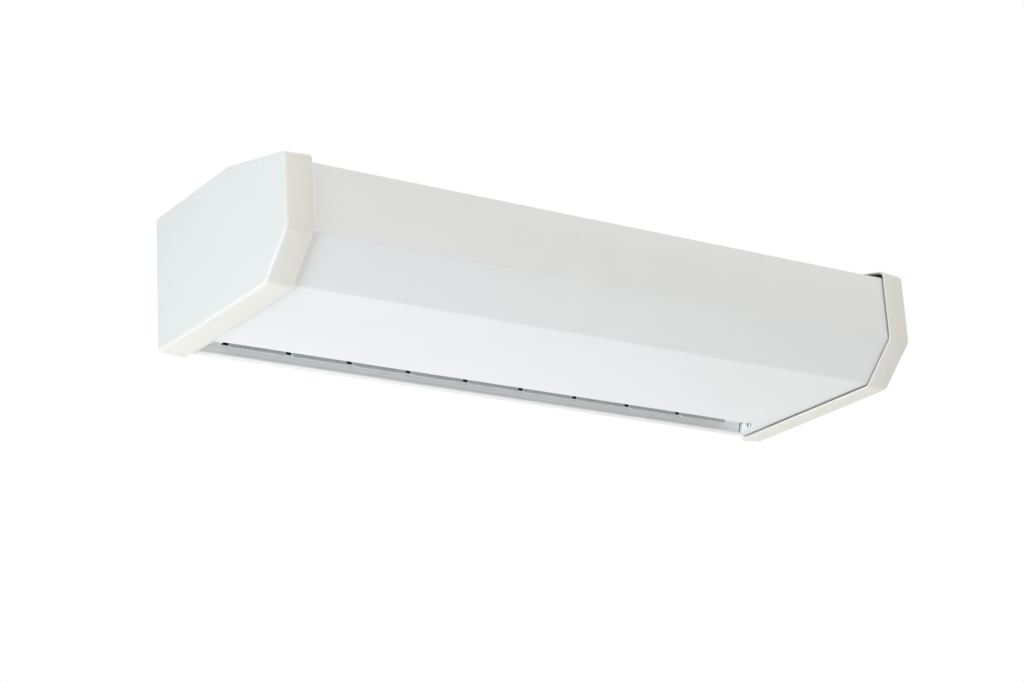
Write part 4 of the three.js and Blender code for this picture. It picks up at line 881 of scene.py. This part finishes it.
def spoke(radius, turn, x=0.0):
    """A place at a radius and an angle round the X axis."""
    return x, radius * math.cos(math.radians(turn)), radius * math.sin(math.radians(turn))


die_cast = coated("die_cast_aluminium", "#a9acae", "#9b9ea0", 0.5, 0.0014, 0.0001, 0.02)
front_low, front_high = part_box("motor_front_bell")
lug_x = front_low.x + BELL_NOSE
corner = arc((lug_x + BELL_CORNER_R, MOTOR_R - BELL_CORNER_R), BELL_CORNER_R, 180, 90, 8)
front_bell = lathe([(front_low.x, BORE_R), (front_low.x, BELL_NOSE_R[0]),
                    (front_low.x + 0.0005, BELL_NOSE_R[1]), (lug_x, BELL_NOSE_R[2]),
                    *corner, (front_high.x, MOTOR_R), (front_high.x, 0),
                    (lug_x + BELL_HOLLOW, 0), (lug_x + BELL_HOLLOW, BORE_R)], 64)
drill(front_bell, VENT_R, 0.006, ALONG_X, [spoke(VENT_RING[0], 30 + 60 * i, lug_x) for i in range(6)])
lugs = []
for turn in MOTOR_TURNS:
    web = block((lug_x, 0.030, -LUG_HALF), (lug_x + LUG_T, LUG_RING, LUG_HALF), 0.0006)
    web.rotation_euler.x = math.radians(turn)
    bpy.ops.mesh.primitive_cylinder_add(vertices=32, radius=LUG_R, depth=LUG_T, rotation=ALONG_X,
                                        location=spoke(LUG_RING, turn, lug_x + LUG_T / 2))
    lugs += [web, bpy.context.object]
for lug in lugs:
    apply_modifier(front_bell, "BOOLEAN", operation="UNION", object=lug, solver="EXACT")
    bpy.data.objects.remove(lug)
drill(front_bell, LUG_BORE_R, 0.02, ALONG_X, [spoke(LUG_RING, turn, lug_x) for turn in MOTOR_TURNS])
front_bell.location = AXIS
soften(front_bell, 35)
finished(front_bell, "motor_front_bell_casting", die_cast, "casing", "cast_aluminium", "motor_front_bell")

rear_low, rear_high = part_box("motor_rear_bell")
rear_face = rear_high.x - 0.003  # the bearing's boss stands out behind it
corner = arc((rear_face - BELL_CORNER_R, MOTOR_R - BELL_CORNER_R), BELL_CORNER_R, 90, 0, 8)
rear_bell = lathe([(rear_low.x, 0), (rear_low.x, MOTOR_R), *corner, (rear_face, 0.015),
                   (rear_high.x - 0.0006, 0.0126), (rear_high.x, 0.012), (rear_high.x, 0)], 64)
drill(rear_bell, VENT_R, 0.006, ALONG_X, [spoke(VENT_RING[1], 60 * i, rear_face) for i in range(6)])
rear_bell.location = AXIS
soften(rear_bell, 35)
finished(rear_bell, "motor_rear_bell_casting", die_cast, "casing", "cast_aluminium", "motor_rear_bell")

laminations = bare_metal("varnished_laminations", "#7d7f82", "#66686b", 0.42, 0.0006, (1, 0.02, 0.02))
STACK_R = 0.0435
STACK_GROOVE_R = 0.0024
STACK_GROOVE_RING = 0.044
low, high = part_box("motor_stator")
stator = lathe([(low.x, 0), (low.x, STACK_R), (high.x, STACK_R), (high.x, 0)], 64)
drill(stator, STACK_GROOVE_R, 0.03, ALONG_X,
      [spoke(STACK_GROOVE_RING, 45 * i + 22, (low.x + high.x) / 2) for i in range(8)])
stator.location = AXIS
soften(stator, 35)
finished(stator, "motor_stator_stack", laminations, "casing", "laminated_steel", "motor_stator")

bronze = bare_metal("sintered_bronze", "#a98550", "#93713f", 0.45, 0.0007, (1, 0.1, 0.1))
BUSH_R, BUSH_SIDE_R, BUSH_MOUTH_R = 0.008, 0.0076, 0.0048
BUSH_EDGE, BUSH_FUNNEL = 0.0004, 0.0005
low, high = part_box("bearing_bush")
bush = lathe([(low.x, BUSH_MOUTH_R), (low.x, BUSH_SIDE_R), (low.x + BUSH_EDGE, BUSH_R),
              (high.x - BUSH_EDGE, BUSH_R), (high.x, BUSH_SIDE_R), (high.x, BUSH_MOUTH_R),
              (high.x - BUSH_FUNNEL, BORE_R), (low.x + BUSH_FUNNEL, BORE_R)])
bush.location = AXIS
soften(bush)
finished(bush, "bearing_bush_turned", bronze, "casing", "bronze", "bearing_bush")

HOLDER_SCREW_R, HOLDER_SCREW_RING = 0.0019, 0.02325
FIN = ((0.005, 0.016, -0.0008), (0.0005, 0.026, 0.0008))  # from the cup's end and from the flange
FIN_SLOPE = (-0.72, 0.69, 0)
low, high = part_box("bearing_holder")
flange = high.x - 0.003
holder = lathe([(high.x, 0.0138), (high.x, 0.0286), (high.x - 0.0004, 0.029), (flange + 0.0006, 0.029),
                (flange, 0.0284), (flange, 0.0188), (flange - 0.0008, 0.0176), (low.x + 0.001, 0.0166),
                (low.x, 0.0156), (low.x, 0.0063), (low.x + 0.002, 0.0063), (low.x + 0.002, 0.0138)], 64)
drill(holder, HOLDER_SCREW_R, 0.02, ALONG_X,
      [spoke(HOLDER_SCREW_RING, turn, flange) for turn in (30, 150, 270)])
fins = []
for turn in MOTOR_TURNS:
    fin_end = low.x + FIN[0][0]
    fin = block((fin_end, *FIN[0][1:]), (flange + FIN[1][0], *FIN[1][1:]), MOULDED_R)
    bpy.ops.object.mode_set(mode="EDIT")
    split((fin_end, 0.018, 0), FIN_SLOPE, use_fill=True, clear_outer=True)
    bpy.ops.object.mode_set(mode="OBJECT")
    fin.rotation_euler.x = math.radians(turn)
    fins.append(fin)
holder = joined(holder, *fins)
holder.location = AXIS
soften(holder, 35)
finished(holder, "bearing_holder_moulding", black_moulding, "casing", "black_plastic", "bearing_holder")

capacitor_case = coated("capacitor_case", "#dcdcd9", "#d2d2cf", 0.42, 0.002, 0.00004)
CAN_PROFILE = ((-0.031, 0), (-0.031, 0.0122), (-0.0306, 0.0134), (-0.0296, 0.0145), (-0.028, 0.015),
               (0.0268, 0.015), (0.0272, 0.0145), (0.0280, 0.0143), (0.0288, 0.0145), (0.0292, 0.015),
               (0.0302, 0.015), (0.031, 0.0142), (0.031, 0.0128), (0.0298, 0.0122), (0.0298, 0))
TERMINAL_X = (0.029, 0.040)
TERMINAL_Z = (-0.006, 0.006)
TERMINAL_HALF = (0.003, 0.0004)  # half a terminal's width and thickness
low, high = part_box("run_capacitor")
can = turned_from(0, CAN_PROFILE, 64)
terminals = [block((TERMINAL_X[0], -TERMINAL_HALF[0], z - TERMINAL_HALF[1]),
                   (TERMINAL_X[1], TERMINAL_HALF[0], z + TERMINAL_HALF[1]), 0.0001) for z in TERMINAL_Z]
can = joined(can, *terminals)
can.rotation_euler.z = -math.pi / 2
can.location = ((low.x + high.x) / 2, high.y + CAN_PROFILE[0][0], (low.z + high.z) / 2)
soften(can)
finished(can, "run_capacitor_can", capacitor_case, "casing", "capacitor_plastic", "run_capacitor")

cream_polyamide = coated("cream_polyamide", "#dfdac8", "#d5d0bd", 0.5, 0.0012, 0.00004)
dress(cream_polyamide, "terminal_block")
lead_sheath = coated("grey_lead_sheath", "#808284", "#747678", 0.55, 0.002, 0.00004)
dress(lead_sheath, "motor_lead")

# ---------------------------------------------------------------- screws
# Zinc-plated self-tapping screws, bright with a faint warm cast: pan heads inside, countersunk heads
# for the cover. One of each kind is turned and recessed, and the others are copies of it.
zinc_plate = bare_metal("zinc_plate", "#d6d8d4", "#c2c4bf", 0.3, 0.0006)
# heads: height and radius, in screw diameters
PAN_HEAD = ((0, 1), (0.15, 1.0), (0.3, 0.95), (0.45, 0.79), (0.55, 0.55), (0.6, 0.3), (0.6, 0))
FLAT_HEAD = ((-0.5, 0.5), (-0.03, 1), (0, 0.98), (0, 0))
ROOT = 0.4  # radius at the thread's root, in screw diameters
POINT = 0.8  # length of the point, in screw diameters
THREADED = 0.8  # share of the shank
THREAD_PITCH = 0.0014
RECESS_DEPTH = 0.42
RECESS_ARM = (1.0, 0.2)
SCREWS = (
    (PAN_HEAD, 0.0042, (1, 0, 0), ("cap_screw_left",)),
    (PAN_HEAD, 0.0042, (-1, 0, 0), ("cap_screw_right",)),
    (PAN_HEAD, 0.004, (1, 0, 0), ("motor_screw_1", "motor_screw_2", "motor_screw_3", "earth_screw")),
    (PAN_HEAD, 0.0032, (-1, 0, 0), ("bearing_screw_1", "bearing_screw_2", "bearing_screw_3")),
    (PAN_HEAD, 0.0032, (1, 0, 0), ("clip_screw",)),
    (FLAT_HEAD, 0.004, (0, -1, 0), ("cover_screw_left_front", "cover_screw_right_front")),
    (FLAT_HEAD, 0.004, (0, 0, -1), ("cover_screw_left_bottom", "cover_screw_right_bottom")),
)


def self_tapper(head, size, length):
    """A screw along X with its head's bearing face, or flush face, at 0 and a cross recess in it."""
    root = size * ROOT
    thread = []
    for i in range(int(length * THREADED / THREAD_PITCH)):
        x = -length + size * 0.9 + i * THREAD_PITCH
        if x + THREAD_PITCH < head[0][0] * size - 0.0006:
            thread += [(x, root), (x + THREAD_PITCH / 2, size / 2)]
    shank = [(-length, 0.0), (-length + size * POINT, root), *thread, (head[0][0] * size - 0.0004, root)]
    if head[0][1] > 0.5:
        shank.append((0, root))
    screw = lathe(shank + [(x * size, r * size) for x, r in head], 28)
    top = head[-1][0] * size
    for arm in (RECESS_ARM, RECESS_ARM[::-1]):
        wide, tall = (share * size / 2 for share in arm)
        cut_away(screw, block((top - RECESS_DEPTH * size, -wide, -tall), (top + size, wide, tall)))
    return screw


for head, size, direction, names in SCREWS:
    axis = Vector(direction)
    first_low, first_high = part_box(names[0])
    head_height = head[-1][0] * size
    length = abs((first_high - first_low).dot(axis))
    pattern = self_tapper(head, size, length - head_height)
    for name in names:
        low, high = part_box(name)
        centre = (low + high) / 2
        tip = centre + axis * abs((high - low).dot(axis)) / 2
        screw = pattern.copy()
        screw.data = pattern.data.copy()
        bpy.context.collection.objects.link(screw)
        turn = Vector((1, 0, 0)).rotation_difference(axis).to_matrix().to_4x4()
        screw.matrix_world = Matrix.Translation(tip - axis * head_height) @ turn
        soften(screw, 35)
        finished(screw, f"{name}_cross_recess", zinc_plate, "casing", "zinc_plated", name)
    bpy.data.objects.remove(pattern)

low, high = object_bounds()
